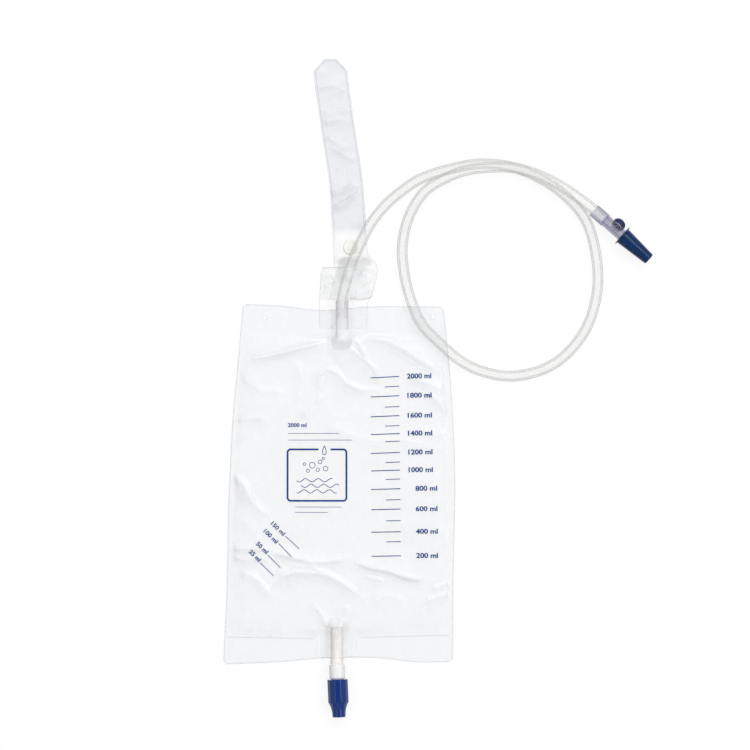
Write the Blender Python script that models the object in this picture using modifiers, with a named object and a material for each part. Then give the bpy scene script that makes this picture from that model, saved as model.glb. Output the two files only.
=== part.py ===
"""Two-litre urine drainage bag, empty and lying flat, with its inlet tube in a loose loop.

Metres, +Z up. The origin is the centre of the bag's underside, and +Y runs up the bag to its hanging strap.
"""

import math

import bmesh
import bpy
import numpy as np
from mathutils import Matrix, Vector

# Shared clearances
GAP = 0.0003
ABOVE_TABLE = 0.0001

# Bag films
BAG_WIDTH = 0.208
BAG_HEIGHT = 0.3245
BAG_TOP = BAG_HEIGHT / 2
BAG_FOOT = -BAG_HEIGHT / 2
FILM_THICKNESS = 0.00035
SIDE_WELD = 0.0025
TOP_WELD = 0.0225
BOTTOM_WELD = 0.0215
CORNER_CUT = 0.0045
PUFF = 0.0022
PUFF_RISE = 0.018
CORNER_HOLE_RADIUS = 0.0025
CORNER_HOLES = ((0.0195, 0.0125), (0.0090, 0.0120))

# How far each edge is drawn in from the full size: (share along the edge, distance)
LEFT_EDGE = ((0.0, 0.0), (0.2, 0.0031), (0.45, 0.0048), (0.70, 0.0090), (0.85, 0.0135), (1.0, 0.0178))
RIGHT_EDGE = ((0.0, 0.0020), (0.3, 0.0009), (0.5, -0.0004), (0.7, 0.0019), (0.85, 0.0055), (1.0, 0.0106))
TOP_EDGE = ((0.0, 0.0004), (0.2, 0.0023), (0.38, 0.0060), (0.62, 0.0030), (1.0, 0.0028))
BOTTOM_EDGE = ((0.0, 0.0002), (0.24, 0.0023), (0.46, 0.0060), (0.7, 0.0055), (0.83, 0.0025), (1.0, 0.0024))

# Folds of the front film: points along the crest, height and half width
FOLDS = (
    (((-0.0176, 0.1254), (-0.0803, 0.1126)), 0.0026, 0.0050),
    (((0.0117, 0.1368), (0.0284, 0.1332), (0.0558, 0.1197), (0.0972, 0.0963)), 0.0026, 0.0090),
    (((-0.0189, 0.0936), (0.0050, 0.0990), (0.0360, 0.0837)), 0.0020, 0.0060),
    (((-0.0963, 0.0000), (-0.0612, -0.0333)), 0.0018, 0.0055),
    (((-0.0981, -0.0576), (-0.0756, -0.0594)), 0.0014, 0.0050),
    (((-0.0477, -0.0657), (-0.0252, -0.0720), (-0.0027, -0.0684), (0.0486, -0.0801), (0.0792, -0.0864)),
     0.0022, 0.0055),
    (((-0.0531, -0.0927), (-0.0351, -0.0846), (-0.0126, -0.0864), (0.0144, -0.0963)), 0.0024, 0.0055),
    (((-0.0837, -0.0801), (-0.0612, -0.0972)), 0.0016, 0.0050),
    (((0.0882, -0.0927), (0.1017, -0.0900)), 0.0014, 0.0050),
)

# Hanging strap: a narrow strip that leans from the bag's neck, and the wide tab at its foot.
# Its stations are (height above the bag's top, place across).
STRAP_THICKNESS = 0.0004
STRAP_WIDTH = 0.0305
STRAP_TOP = BAG_TOP + 0.22045
STRAP_LEAN = tuple((BAG_TOP + above, across) for above, across in (
    (0.04475, 0.0106), (0.07175, 0.0090), (0.11275, 0.0060), (0.14675, 0.0008), (0.18175, -0.0042),
    (0.20775, -0.0075), (0.22045, -0.0076)))
STRAP_TIP_WIDTH = 0.0105
STRAP_TIP_LENGTH = 0.0112
STRAP_SLITS = (BAG_TOP + 0.18175, BAG_TOP + 0.15005, BAG_TOP + 0.11675)
SLIT_LENGTH = 0.0100
SLIT_WIDTH = 0.0009
TAB_FOOT = BAG_TOP - 0.02275
TAB_SHOULDER = BAG_TOP + 0.03375
TAB_LEFT = ((TAB_FOOT, -0.0179), (BAG_TOP - 0.00245, -0.0179), (TAB_SHOULDER - 0.0066, -0.0165),
            (TAB_SHOULDER - 0.0002, -0.0140))
TAB_RIGHT = ((TAB_FOOT, 0.0252), (BAG_TOP + 0.00025, 0.0258), (BAG_TOP + 0.00645, 0.0292),
             (TAB_SHOULDER - 0.0124, 0.0337), (TAB_SHOULDER - 0.0025, 0.0350), (TAB_SHOULDER + 0.0016, 0.0337))
TAB_RISE = (BAG_TOP + 0.00175, BAG_TOP + 0.01375)

# Cover film over the tube at the neck
COVER_FOOT = BAG_TOP + 0.00435
COVER_TOP = BAG_TOP + 0.02825
COVER_MARGIN = 0.0006

# Push-through button that the strap's slits fasten on
BUTTON_CENTRE = (0.0104, BAG_TOP + 0.05065)
BUTTON_RADIUS = 0.0066
BUTTON_HEAD_HEIGHT = 0.0018
BUTTON_STEM_RADIUS = 0.0020
BUTTON_FLANGE_RADIUS = 0.0048
BUTTON_FLANGE_HEIGHT = 0.0008
BUTTON_SPREAD = 0.0140

# Inlet port, welded between the films, and the non-return sleeve below it
TUBE_RADIUS = 0.0048
TUBE_BORE_CLEARANCE = 0.0003
PORT_X = 0.0028
PORT_TOP = BAG_TOP + 0.00275
PORT_LENGTH = 0.0345
PORT_WALL = 0.0006
PORT_SLANT = math.radians(38)
PORT_INSERTION = 0.0156
LEAF_THICKNESS = 0.0003
LEAF_WIDTH = 0.0270
LEAF_LENGTH = 0.0440
LEAF_DRIFT = 0.0200
LEAF_OVERLAP = 0.0030

# Outlet: soft drain tube, push-pull valve
OUTLET_X = -0.0018
DRAIN_RADIUS = 0.00575
DRAIN_WALL = 0.0012
DRAIN_INNER_END = BAG_FOOT + 0.03385
DRAIN_BEND = (BAG_FOOT + 0.01375, BAG_FOOT + 0.00175)
COLLAR_TOP = BAG_FOOT + 0.00025
OUTLET_LEAN = math.radians(2.4)
COLLAR_RADIUS = 0.0071
COLLAR_LENGTH = 0.0123
COLLAR_CHAMFER = 0.0006
COLLAR_SOCKET_DEPTH = 0.0093
NECK_RADIUS = 0.0062
NECK_LENGTH = 0.0016
SHAFT_RADIUS = 0.0050
HEAD_RADIUS = 0.0057
STEM_LENGTH = 0.0166
STEM_BORE = 0.0027
LANTERN_RADIUS = 0.0046
WINDOW_RADIUS = 0.0017
WINDOW_FROM_SHOULDER = 0.0039
NOSE_RADIUS = 0.0040
NOSE_LENGTH = 0.0050
RING_SECTION = 0.0006
RING_FROM_HEAD = 0.0018
GRIP_SIDES = 12
GRIP_FLATS = 0.0183
GRIP_LENGTH = 0.0200
GRIP_START = 0.0131
TAPER_LENGTH = 0.0139
NOZZLE_RADIUS = 0.00595
NOZZLE_BORE = 0.0046
LIP_LENGTH = 0.0009
SLEEVE_TRAVEL = 0.0060

# Catheter connector, lying on the table, its sampling port turned down and away
CONNECTOR_MOUTH = (0.2287, 0.2461)
CONNECTOR_HEADING = math.atan2(-0.664, 0.748)
SOCKET_RADIUS = 0.0061
SOCKET_LENGTH = 0.0146
SOCKET_DEPTH = 0.0120
BODY_RADIUS = 0.00535
BODY_LENGTH = 0.0190
FLOW_BORE = 0.0024
SEAT_RING_RADIUS = 0.0063
SEAT_RING_SPAN = (0.0007, 0.0027)
CONE_LENGTH = 0.0290
CONE_BASE_RADIUS = 0.0049
CONE_TIP_RADIUS = 0.0036
CONE_RIBS = 3
CONE_RIB_HEIGHT = 0.0004
SAMPLE_STATION = 0.0256
SAMPLE_DIP = math.radians(45)
BOSS_RADIUS = 0.0050
BOSS_REACH = 0.0074
BOSS_BORE = 0.0032
BOSS_FLANGE_RADIUS = 0.0057
BOSS_FLANGE_HEIGHT = 0.0008
SEPTUM_RADIUS = 0.0059
SEPTUM_HEIGHT = 0.0016
SEPTUM_DOME = 0.0004
SEPTUM_PLUG_LENGTH = 0.0022

# Protective cap over the connector's cone
CAP_BRIM_RADIUS = 0.0095
CAP_BRIM_HEIGHT = 0.0009
CAP_MOUTH_RADIUS = 0.0078
CAP_TIP_RADIUS = 0.00535
CAP_LENGTH = 0.0330
CAP_WALL = 0.0010
CAP_TIP_ROUND = 0.0011

# Inlet tube's route between the inlet port and the connector, at the middle of the tube
ROUTE = (
    (0.0056, 0.1791, 0.0069), (0.0121, 0.1998, 0.0080), (0.0166, 0.2106, 0.0090), (0.0214, 0.2205, 0.0081),
    (0.0291, 0.2349, 0.0057), (0.0412, 0.2502, 0.0049), (0.0545, 0.2619, 0.0049), (0.0738, 0.2747, 0.0049),
    (0.1143, 0.2864, 0.0049), (0.1359, 0.2878, 0.0049), (0.1575, 0.2844, 0.0049),
    (0.1791, 0.2758, 0.0049), (0.2007, 0.2617, 0.0049), (0.2214, 0.2382, 0.0049), (0.2315, 0.2032, 0.0049),
    (0.2317, 0.1704, 0.0049), (0.2198, 0.1358, 0.0049), (0.1927, 0.1078, 0.0049), (0.1566, 0.0971, 0.0049),
    (0.1265, 0.1022, 0.0049), (0.1071, 0.1123, 0.0057), (0.0909, 0.1265, 0.0074), (0.0750, 0.1429, 0.0072),
    (0.0666, 0.1602, 0.0067), (0.0599, 0.1831, 0.0052), (0.0569, 0.2088, 0.0049), (0.0592, 0.2286, 0.0049),
    (0.0660, 0.2470, 0.0058), (0.0770, 0.2628, 0.0082), (0.0927, 0.2732, 0.0113), (0.1143, 0.2816, 0.0143),
    (0.1359, 0.2842, 0.0149), (0.1575, 0.2837, 0.0149), (0.1791, 0.2774, 0.0149), (0.2007, 0.2664, 0.0144),
)
ROUTE_SAMPLES = 76
TUBE_ON_BAG = slice(19, 25)
TUBE_TROUGH = 0.0130
LEAD_IN = 0.0070

# Roundness of turned pieces
FINE_STEPS = 32
SMALL_STEPS = 24

# Heights that follow from the stack of films on the table
WELD_HEIGHT = FILM_THICKNESS + GAP
TAB_HEIGHT = FILM_THICKNESS + GAP
PORT_BORE = TUBE_RADIUS + TUBE_BORE_CLEARANCE
PORT_RADIUS = PORT_BORE + PORT_WALL
PORT_AXIS_HEIGHT = TAB_HEIGHT + STRAP_THICKNESS + GAP + PORT_RADIUS
LEAF_TOP = PORT_TOP - PORT_LENGTH + LEAF_OVERLAP
FRONT_LEAF_HEIGHT = WELD_HEIGHT + LEAF_THICKNESS + GAP
DRAIN_AXIS_INSIDE = WELD_HEIGHT + DRAIN_RADIUS
GRIP_CORNER_RADIUS = GRIP_FLATS / 2 / math.cos(math.pi / GRIP_SIDES)
OUTLET_AXIS_HEIGHT = GRIP_CORNER_RADIUS + ABOVE_TABLE
SHOULDER_STATION = COLLAR_LENGTH + NECK_LENGTH + STEM_LENGTH
NOSE_STATION = SHOULDER_STATION + (HEAD_RADIUS - NOSE_RADIUS) / 2
HEAD_STATION = GRIP_START + LIP_LENGTH + SLEEVE_TRAVEL + GAP
RING_STATION = HEAD_STATION + RING_FROM_HEAD
CAP_STATION = SOCKET_LENGTH + BODY_LENGTH
SEPTUM_FOOT = BOSS_REACH + GAP
SEPTUM_REST = (SEPTUM_FOOT + SEPTUM_HEIGHT) * math.sin(SAMPLE_DIP) + SEPTUM_RADIUS * math.cos(SAMPLE_DIP)
CONNECTOR_AXIS_HEIGHT = SEPTUM_REST + ABOVE_TABLE


# Scene and materials


def clear_scene():
    for old in list(bpy.data.objects):
        bpy.data.objects.remove(old, do_unlink=True)


def new_collection(name, helper=False):
    collection = bpy.data.collections.new(name)
    collection.hide_render = helper
    bpy.context.scene.collection.children.link(collection)
    return collection


def linear(channel):
    if channel <= 0.04045:
        return channel / 12.92
    return ((channel + 0.055) / 1.055) ** 2.4


def material(name, colour, roughness, clearness=0.0, ior=1.5):
    """A plastic finish. The colour is sRGB hex, and clearness is the share of light that passes through."""
    finish = bpy.data.materials.new(name)
    finish.use_nodes = True
    shader = finish.node_tree.nodes["Principled BSDF"]
    red, green, blue = (linear(int(colour[i:i + 2], 16) / 255) for i in (0, 2, 4))
    shader.inputs["Base Color"].default_value = (red, green, blue, 1.0)
    shader.inputs["Roughness"].default_value = roughness
    shader.inputs["Metallic"].default_value = 0.0
    shader.inputs["Transmission Weight"].default_value = clearness
    shader.inputs["IOR"].default_value = ior
    return finish


def add_object(name, mesh, collection, finish=None, frame=None):
    body = bpy.data.objects.new(name, mesh)
    collection.objects.link(body)
    if finish:
        mesh.materials.append(finish)
    if frame:
        body.parent = frame
    return body


def add_cutter(name, mesh, helpers, frame=None):
    cutter = add_object(name, mesh, helpers, frame=frame)
    cutter.hide_render = True
    cutter.display_type = "WIRE"
    return cutter


def combine(body, other, operation):
    boolean = body.modifiers.new(other.name, "BOOLEAN")
    boolean.operation = operation
    boolean.object = other
    boolean.solver = "EXACT"


def smooth_round(mesh):
    mesh.shade_smooth()
    mesh.set_sharp_from_angle(angle=math.radians(35))


# Curves and heights


def follow(stations, share):
    """The smooth curve through (share, value) stations, read at one share."""
    shares = np.array([station[0] for station in stations])
    values = np.array([station[1] for station in stations])
    slopes = np.gradient(values, shares)
    share = min(max(share, shares[0]), shares[-1])
    cell = min(int(np.searchsorted(shares, share, side="right")) - 1, len(shares) - 2)
    width = shares[cell + 1] - shares[cell]
    t = (share - shares[cell]) / width
    start = values[cell] * (1 + 2 * t) * (1 - t) ** 2 + slopes[cell] * width * t * (1 - t) ** 2
    end = values[cell + 1] * t * t * (3 - 2 * t) + slopes[cell + 1] * width * t * t * (t - 1)
    return float(start + end)


def ramp(distance, length):
    """0 below zero distance, 1 beyond the length, with a soft start and end."""
    t = min(max(distance / length, 0.0), 1.0)
    return t * t * (3 - 2 * t)


def distance_to(line, x, y):
    """How far a point lies from a line of points, in plan."""
    nearest = math.inf
    for (x0, y0), (x1, y1) in zip(line, line[1:]):
        dx, dy = x1 - x0, y1 - y0
        t = min(max(((x - x0) * dx + (y - y0) * dy) / (dx * dx + dy * dy), 0.0), 1.0)
        nearest = min(nearest, math.hypot(x - x0 - t * dx, y - y0 - t * dy))
    return nearest


def draped(offset, centre_height, radius, reach, floor):
    """The height of a film laid over a round bar: it follows the bar, then runs straight down to the floor."""
    fall = centre_height - floor
    foot = math.hypot(reach, fall)
    leave = math.acos(radius / foot) - math.atan2(fall, reach)
    touch = radius * math.cos(leave)
    offset = abs(offset)
    if offset <= touch:
        return centre_height + math.sqrt(radius ** 2 - offset ** 2)
    if offset >= reach:
        return floor
    top = centre_height + radius * math.sin(leave)
    return top + (floor - top) * (offset - touch) / (reach - touch)


# Bag films


def left_side(y):
    return -BAG_WIDTH / 2 + follow(LEFT_EDGE, y / BAG_HEIGHT + 0.5)


def right_side(y):
    return BAG_WIDTH / 2 - follow(RIGHT_EDGE, y / BAG_HEIGHT + 0.5)


def across(x, y):
    return (x - left_side(y)) / (right_side(y) - left_side(y))


def top_side(share):
    return BAG_TOP - follow(TOP_EDGE, share)


def bottom_side(share):
    return BAG_FOOT + follow(BOTTOM_EDGE, share)


def bag_place(u, v):
    """Grid shares to a place on the bag, with the columns closest together at the ports."""
    share = u + 0.07 * math.sin(2 * math.pi * u)
    y = bottom_side(share) + (top_side(share) - bottom_side(share)) * v
    return left_side(y) + (right_side(y) - left_side(y)) * share, y


def drain_axis_height(y):
    """The drain tube lies low between the films and rises outside them to the valve's axis."""
    start, end = DRAIN_BEND
    return DRAIN_AXIS_INSIDE + (OUTLET_AXIS_HEIGHT - DRAIN_AXIS_INSIDE) * ramp(start - y, start - end)


def interior(x, y):
    """0 on the welds and 1 well inside the pouch."""
    share = across(x, y)
    side = min(x - left_side(y), right_side(y) - x) - SIDE_WELD
    upper = top_side(share) - TOP_WELD - y
    lower = y - bottom_side(share) - BOTTOM_WELD
    return ramp(side, PUFF_RISE) * ramp(upper, PUFF_RISE) * ramp(lower, PUFF_RISE)


def folds(x, y):
    height = 0.0
    for crest, rise, half_width in FOLDS:
        height += rise * math.exp(-(distance_to(crest, x, y) / half_width) ** 2)
    return height


def over_inserts(x, y):
    """Room between the films for the strap's tab and the non-return sleeve."""
    margin = 0.0080
    middle = (TAB_LEFT[0][1] + TAB_RIGHT[0][1] + LEAF_DRIFT / 2) / 2
    half = (TAB_RIGHT[0][1] - TAB_LEFT[0][1] + LEAF_DRIFT / 2) / 2 + margin / 2
    beside = half + margin - abs(x - middle)
    above = y - (LEAF_TOP - LEAF_LENGTH - 1.5 * margin)
    thickness = 2 * (LEAF_THICKNESS + GAP) + 2 * GAP
    return thickness * ramp(beside, margin) * ramp(above, margin)


def over_port(x, y):
    fade = 1 - ramp(PORT_TOP - PORT_LENGTH - y, 0.0300)
    radius = PORT_RADIUS + LEAF_THICKNESS + 4 * GAP
    return (draped(x - PORT_X, PORT_AXIS_HEIGHT, radius, 0.0170, WELD_HEIGHT) - WELD_HEIGHT) * fade


def over_drain(x, y):
    fade = 1 - ramp(y - DRAIN_INNER_END, 0.0280)
    centre = drain_axis_height(y)
    return (draped(x - OUTLET_X, centre, DRAIN_RADIUS + 2 * GAP, 0.0150, WELD_HEIGHT) - WELD_HEIGHT) * fade


def under_tube(x, y):
    """1 away from the inlet tube, 0 where it lies on the bag and presses the films flat."""
    line = [point[:2] for point in ROUTE[TUBE_ON_BAG]]
    return 1 - math.exp(-(distance_to(line, x, y) / TUBE_TROUGH) ** 4)


def front_height(x, y):
    slack = (PUFF + folds(x, y)) * interior(x, y) * under_tube(x, y)
    return WELD_HEIGHT + max(slack, over_inserts(x, y), over_port(x, y), over_drain(x, y))


def film(name, columns, rows, place, height, thickness, collection, finish, corners=0.0):
    """A thin sheet: a grid set out by place(u, v), raised by height(x, y), its corners rounded, then thickened."""
    grid = bmesh.new()
    bmesh.ops.create_grid(grid, x_segments=columns, y_segments=rows, size=0.5)
    for vertex in grid.verts:
        x, y = place(vertex.co.x + 0.5, vertex.co.y + 0.5)
        vertex.co = (x, y, height(x, y))
    if corners:
        tips = [vertex for vertex in grid.verts if len(vertex.link_edges) == 2]
        bmesh.ops.bevel(grid, geom=tips, offset=corners, segments=3, profile=0.5, affect="VERTICES", material=-1)
    mesh = bpy.data.meshes.new(name)
    grid.to_mesh(mesh)
    grid.free()
    mesh.shade_smooth()
    sheet = add_object(name, mesh, collection, finish)
    wall = sheet.modifiers.new("thickness", "SOLIDIFY")
    wall.thickness = thickness
    wall.offset = 1.0
    return sheet


def peg(name, x, y, radius, helpers):
    """A vertical cutter through every film."""
    bpy.ops.mesh.primitive_cylinder_add(vertices=SMALL_STEPS, radius=radius, depth=0.05, location=(x, y, 0.0))
    cutter = bpy.context.object
    cutter.name = name
    move_to(cutter, helpers)
    cutter.hide_render = True
    cutter.display_type = "WIRE"
    return cutter


def move_to(body, collection):
    for holder in list(body.users_collection):
        holder.objects.unlink(body)
    collection.objects.link(body)


def make_films(parts, helpers, finishes):
    back = film("back_film", 12, 16, bag_place, lambda x, y: 0.0, FILM_THICKNESS, parts, finishes["film"],
                CORNER_CUT)
    front = film("front_film", 36, 50, bag_place, front_height, FILM_THICKNESS, parts, finishes["film"],
                 CORNER_CUT)
    for index, (inset, drop) in enumerate(CORNER_HOLES):
        y = top_side(index) - drop
        x = right_side(y) - inset if index else left_side(y) + inset
        hole = peg(f"corner_hole_{index}", x, y, CORNER_HOLE_RADIUS, helpers)
        combine(back, hole, "DIFFERENCE")
        combine(front, hole, "DIFFERENCE")


# Inlet port and non-return sleeve


def leaf_place(u, v):
    y = LEAF_TOP - LEAF_LENGTH * (1 - v)
    middle = PORT_X + LEAF_DRIFT * ramp(LEAF_TOP - y - LEAF_OVERLAP, LEAF_LENGTH)
    return middle + (u - 0.5) * LEAF_WIDTH, y


def front_leaf_height(x, y):
    fade = 1 - ramp(PORT_TOP - PORT_LENGTH - y, 0.0240)
    radius = PORT_RADIUS + 1.3 * GAP
    lift = draped(x - PORT_X, PORT_AXIS_HEIGHT, radius, 0.0125, FRONT_LEAF_HEIGHT) - FRONT_LEAF_HEIGHT
    return FRONT_LEAF_HEIGHT + lift * fade


def make_sleeve_valve(parts, finishes):
    film("valve_back_leaf", 4, 8, leaf_place, lambda x, y: WELD_HEIGHT, LEAF_THICKNESS, parts, finishes["leaf"])
    film("valve_front_leaf", 14, 14, leaf_place, front_leaf_height, LEAF_THICKNESS, parts, finishes["leaf"])


def frame_at(name, parts, origin, right, along):
    """An empty whose local Z runs along an axis and whose local X points right."""
    along = Vector(along).normalized()
    right = Vector(right).normalized()
    forward = along.cross(right)
    frame = bpy.data.objects.new(name, None)
    frame.empty_display_size = 0.01
    parts.objects.link(frame)
    frame.matrix_world = Matrix.Translation(origin) @ Matrix((right, forward, along)).transposed().to_4x4()
    return frame


def turned(name, profile, collection, finish=None, frame=None, steps=FINE_STEPS):
    """A closed profile of (radius, distance along) points, outer side first from the near end, spun about Z."""
    outline = bmesh.new()
    corners = [outline.verts.new((radius, 0.0, along)) for radius, along in reversed(profile)]
    ends = zip(corners, corners[1:] + corners[:1])
    for first, second in ends:
        if first.co.x > 0 or second.co.x > 0:
            outline.edges.new((first, second))
    mesh = bpy.data.meshes.new(name)
    outline.to_mesh(mesh)
    outline.free()
    body = add_object(name, mesh, collection, finish, frame)
    spin = body.modifiers.new("spin", "SCREW")
    spin.axis = "Z"
    spin.steps = steps
    spin.render_steps = steps
    spin.use_merge_vertices = True
    spin.merge_threshold = 0.00001
    spin.use_smooth_shade = True
    return body


def make_inlet_port(parts, helpers, finishes):
    frame = frame_at("inlet_axis", parts, (PORT_X, PORT_TOP, PORT_AXIS_HEIGHT), (1, 0, 0), (0, -1, 0))
    rim = 0.0008
    profile = (
        (PORT_RADIUS - 0.0002, 0.0), (PORT_RADIUS, rim), (PORT_RADIUS, PORT_LENGTH + 0.01),
        (PORT_BORE, PORT_LENGTH + 0.01), (PORT_BORE, 0.0),
    )
    port = turned("inlet_port", profile, parts, finishes["port"], frame)
    block = 0.03
    bpy.ops.mesh.primitive_cube_add(size=block)
    slant = bpy.context.object
    slant.name = "port_slant"
    move_to(slant, helpers)
    slant.parent = frame
    slant.hide_render = True
    slant.display_type = "WIRE"
    centre = PORT_LENGTH - PORT_RADIUS * math.tan(PORT_SLANT) + block / 2 / math.cos(PORT_SLANT)
    slant.location = (0.0, 0.0, centre)
    slant.rotation_euler = (0.0, PORT_SLANT, 0.0)
    combine(port, slant, "DIFFERENCE")


# Hanging strap, its tab and its button


def strap_sides(y):
    """The strap's left and right edges at one height up the bag."""
    if y < TAB_SHOULDER:
        left = np.interp(y, *zip(*TAB_LEFT))
        right = np.interp(y, *zip(*TAB_RIGHT))
        return float(left), float(right)
    middle = follow(STRAP_LEAN, y)
    tip = ramp_linear(STRAP_TOP - y, STRAP_TIP_LENGTH)
    half = (STRAP_TIP_WIDTH + (STRAP_WIDTH - STRAP_TIP_WIDTH) * tip) / 2
    right = middle + half
    if y < STRAP_LEAN[0][0]:
        shoulder = (STRAP_LEAN[0][0] - y) / (STRAP_LEAN[0][0] - TAB_RIGHT[-1][0])
        right += (TAB_RIGHT[-1][1] - right) * min(shoulder, 1.0)
    return middle - half, right


def ramp_linear(distance, length):
    return min(max(distance / length, 0.0), 1.0)


def button_lift(x, y):
    away = math.hypot(x - BUTTON_CENTRE[0], y - BUTTON_CENTRE[1])
    return (BUTTON_FLANGE_HEIGHT + GAP) * (1 - ramp(away - BUTTON_FLANGE_RADIUS - GAP, BUTTON_SPREAD))


def strap_height(x, y):
    """On the table, raised over the button's flange, and stepped up onto the bag's back film at the tab."""
    start, end = TAB_RISE
    return max(TAB_HEIGHT * (1 - ramp(y - start, end - start)), button_lift(x, y) + ABOVE_TABLE)


def strap_rows():
    step = 0.0001
    rows = [y for y, _ in TAB_LEFT + TAB_RIGHT + STRAP_LEAN]
    rows += [TAB_SHOULDER - step, TAB_SHOULDER, STRAP_TOP - STRAP_TIP_LENGTH, *TAB_RISE]
    rows += list(np.linspace(TAB_SHOULDER + 0.004, 0.235, 9))
    rows = sorted(set(round(y, 5) for y in rows))
    return [y for y, above in zip(rows, rows[1:] + [1.0]) if above - y > step / 2]


def make_strap(parts, helpers, finishes):
    rows = strap_rows()

    def strap_place(u, v):
        y = rows[round(v * (len(rows) - 1))]
        left, right = strap_sides(y)
        return left + (right - left) * u, y

    strap = film("hanging_strap", 8, len(rows) - 1, strap_place, strap_height, STRAP_THICKNESS, parts,
                 finishes["strap"])
    combine(strap, peg("button_hole", *BUTTON_CENTRE, BUTTON_STEM_RADIUS + GAP, helpers), "DIFFERENCE")
    for index, y in enumerate(STRAP_SLITS):
        left, right = strap_sides(y)
        bpy.ops.mesh.primitive_cube_add(size=1.0, location=((left + right) / 2, y, 0.0))
        slit = bpy.context.object
        slit.name = f"strap_slit_{index}"
        slit.scale = (SLIT_WIDTH, SLIT_LENGTH, 0.02)
        slit.rotation_euler = (0.0, 0.0, math.radians(7))
        move_to(slit, helpers)
        slit.hide_render = True
        slit.display_type = "WIRE"
        combine(strap, slit, "DIFFERENCE")


def make_button(parts, finishes):
    frame = frame_at("button_axis", parts, (*BUTTON_CENTRE, ABOVE_TABLE), (1, 0, 0), (0, 0, 1))
    under = BUTTON_FLANGE_HEIGHT
    over = under + 2 * GAP + STRAP_THICKNESS
    crown = over + BUTTON_HEAD_HEIGHT
    profile = (
        (0.0, 0.0), (BUTTON_FLANGE_RADIUS - 0.0002, 0.0), (BUTTON_FLANGE_RADIUS, under / 2),
        (BUTTON_FLANGE_RADIUS - 0.0002, under), (BUTTON_STEM_RADIUS, under), (BUTTON_STEM_RADIUS, over),
        (BUTTON_RADIUS - 0.0004, over), (BUTTON_RADIUS, over + 0.0005), (BUTTON_RADIUS - 0.0002, over + 0.0010),
        (BUTTON_RADIUS - 0.0012, crown - 0.0003), (BUTTON_RADIUS / 2, crown), (0.0, crown),
    )
    turned("hang_button", profile, parts, finishes["button"], frame, SMALL_STEPS)


def tube_x(y):
    """The inlet tube's place across the neck at one height up the bag."""
    line = ((PORT_X, PORT_TOP),) + tuple(point[:2] for point in ROUTE[:3])
    return float(np.interp(y, [point[1] for point in line], [point[0] for point in line]))


def cover_place(u, v):
    y = COVER_FOOT + (COVER_TOP - COVER_FOOT) * v
    left, right = strap_sides(y)
    left += COVER_MARGIN
    right -= COVER_MARGIN
    return left + (right - left) * u, y


def cover_height(x, y):
    floor = strap_height(x, y) + STRAP_THICKNESS + GAP
    return draped(x - tube_x(y), PORT_AXIS_HEIGHT + 0.0004, TUBE_RADIUS + 4 * GAP, 0.0125, floor)


def make_cover(parts, finishes):
    film("neck_cover", 20, 7, cover_place, cover_height, FILM_THICKNESS, parts, finishes["strap"])


# Outlet


def smooth_points(points, count):
    """Evenly spaced points along the smooth curve through the given ones."""
    knots = [Vector(point) for point in points]
    knots = [2 * knots[0] - knots[1]] + knots + [2 * knots[-1] - knots[-2]]
    dense = []
    for before, start, end, after in zip(knots, knots[1:], knots[2:], knots[3:]):
        lead, span, tail = (max((b - a).length, 1e-6) ** 0.5 for a, b in
                            ((before, start), (start, end), (end, after)))
        first = span * ((start - before) / lead - (end - before) / (lead + span) + (end - start) / span)
        last = span * ((end - start) / span - (after - start) / (span + tail) + (after - end) / tail)
        for step in range(24):
            t = step / 24
            dense.append(start * (1 + 2 * t) * (1 - t) ** 2 + first * t * (1 - t) ** 2
                         + end * t * t * (3 - 2 * t) + last * t * t * (t - 1))
    dense.append(knots[-2])
    run = np.cumsum([0.0] + [(b - a).length for a, b in zip(dense, dense[1:])])
    even = np.linspace(0.0, run[-1], count)
    return np.stack([np.interp(even, run, [point[axis] for point in dense]) for axis in range(3)], axis=1)


def bar(name, points, radius, resolution, collection, finish=None):
    """A round bar along a line of points."""
    curve = bpy.data.curves.new(name, "CURVE")
    curve.dimensions = "3D"
    curve.bevel_depth = radius
    curve.bevel_resolution = resolution
    curve.use_fill_caps = True
    spline = curve.splines.new("POLY")
    spline.points.add(len(points) - 1)
    for knot, place in zip(spline.points, points):
        knot.co = (*place, 1.0)
    if finish:
        curve.materials.append(finish)
    body = bpy.data.objects.new(name, curve)
    collection.objects.link(body)
    return body


def meshed(body, collection, finish=None):
    """The curve turned into a mesh object of the same name, with its caps sewn on."""
    graph = bpy.context.evaluated_depsgraph_get()
    mesh = bpy.data.meshes.new_from_object(body.evaluated_get(graph))
    name = body.name
    bpy.data.objects.remove(body, do_unlink=True)
    sewn = bmesh.new()
    sewn.from_mesh(mesh)
    bmesh.ops.remove_doubles(sewn, verts=sewn.verts, dist=1e-6)
    sewn.to_mesh(mesh)
    sewn.free()
    mesh.materials.clear()
    smooth_round(mesh)
    return add_object(name, mesh, collection, finish)


def outlet_direction():
    return Vector((math.sin(OUTLET_LEAN), -math.cos(OUTLET_LEAN), 0.0))


def outlet_point(along):
    return Vector((OUTLET_X, COLLAR_TOP, OUTLET_AXIS_HEIGHT)) + outlet_direction() * along


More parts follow.
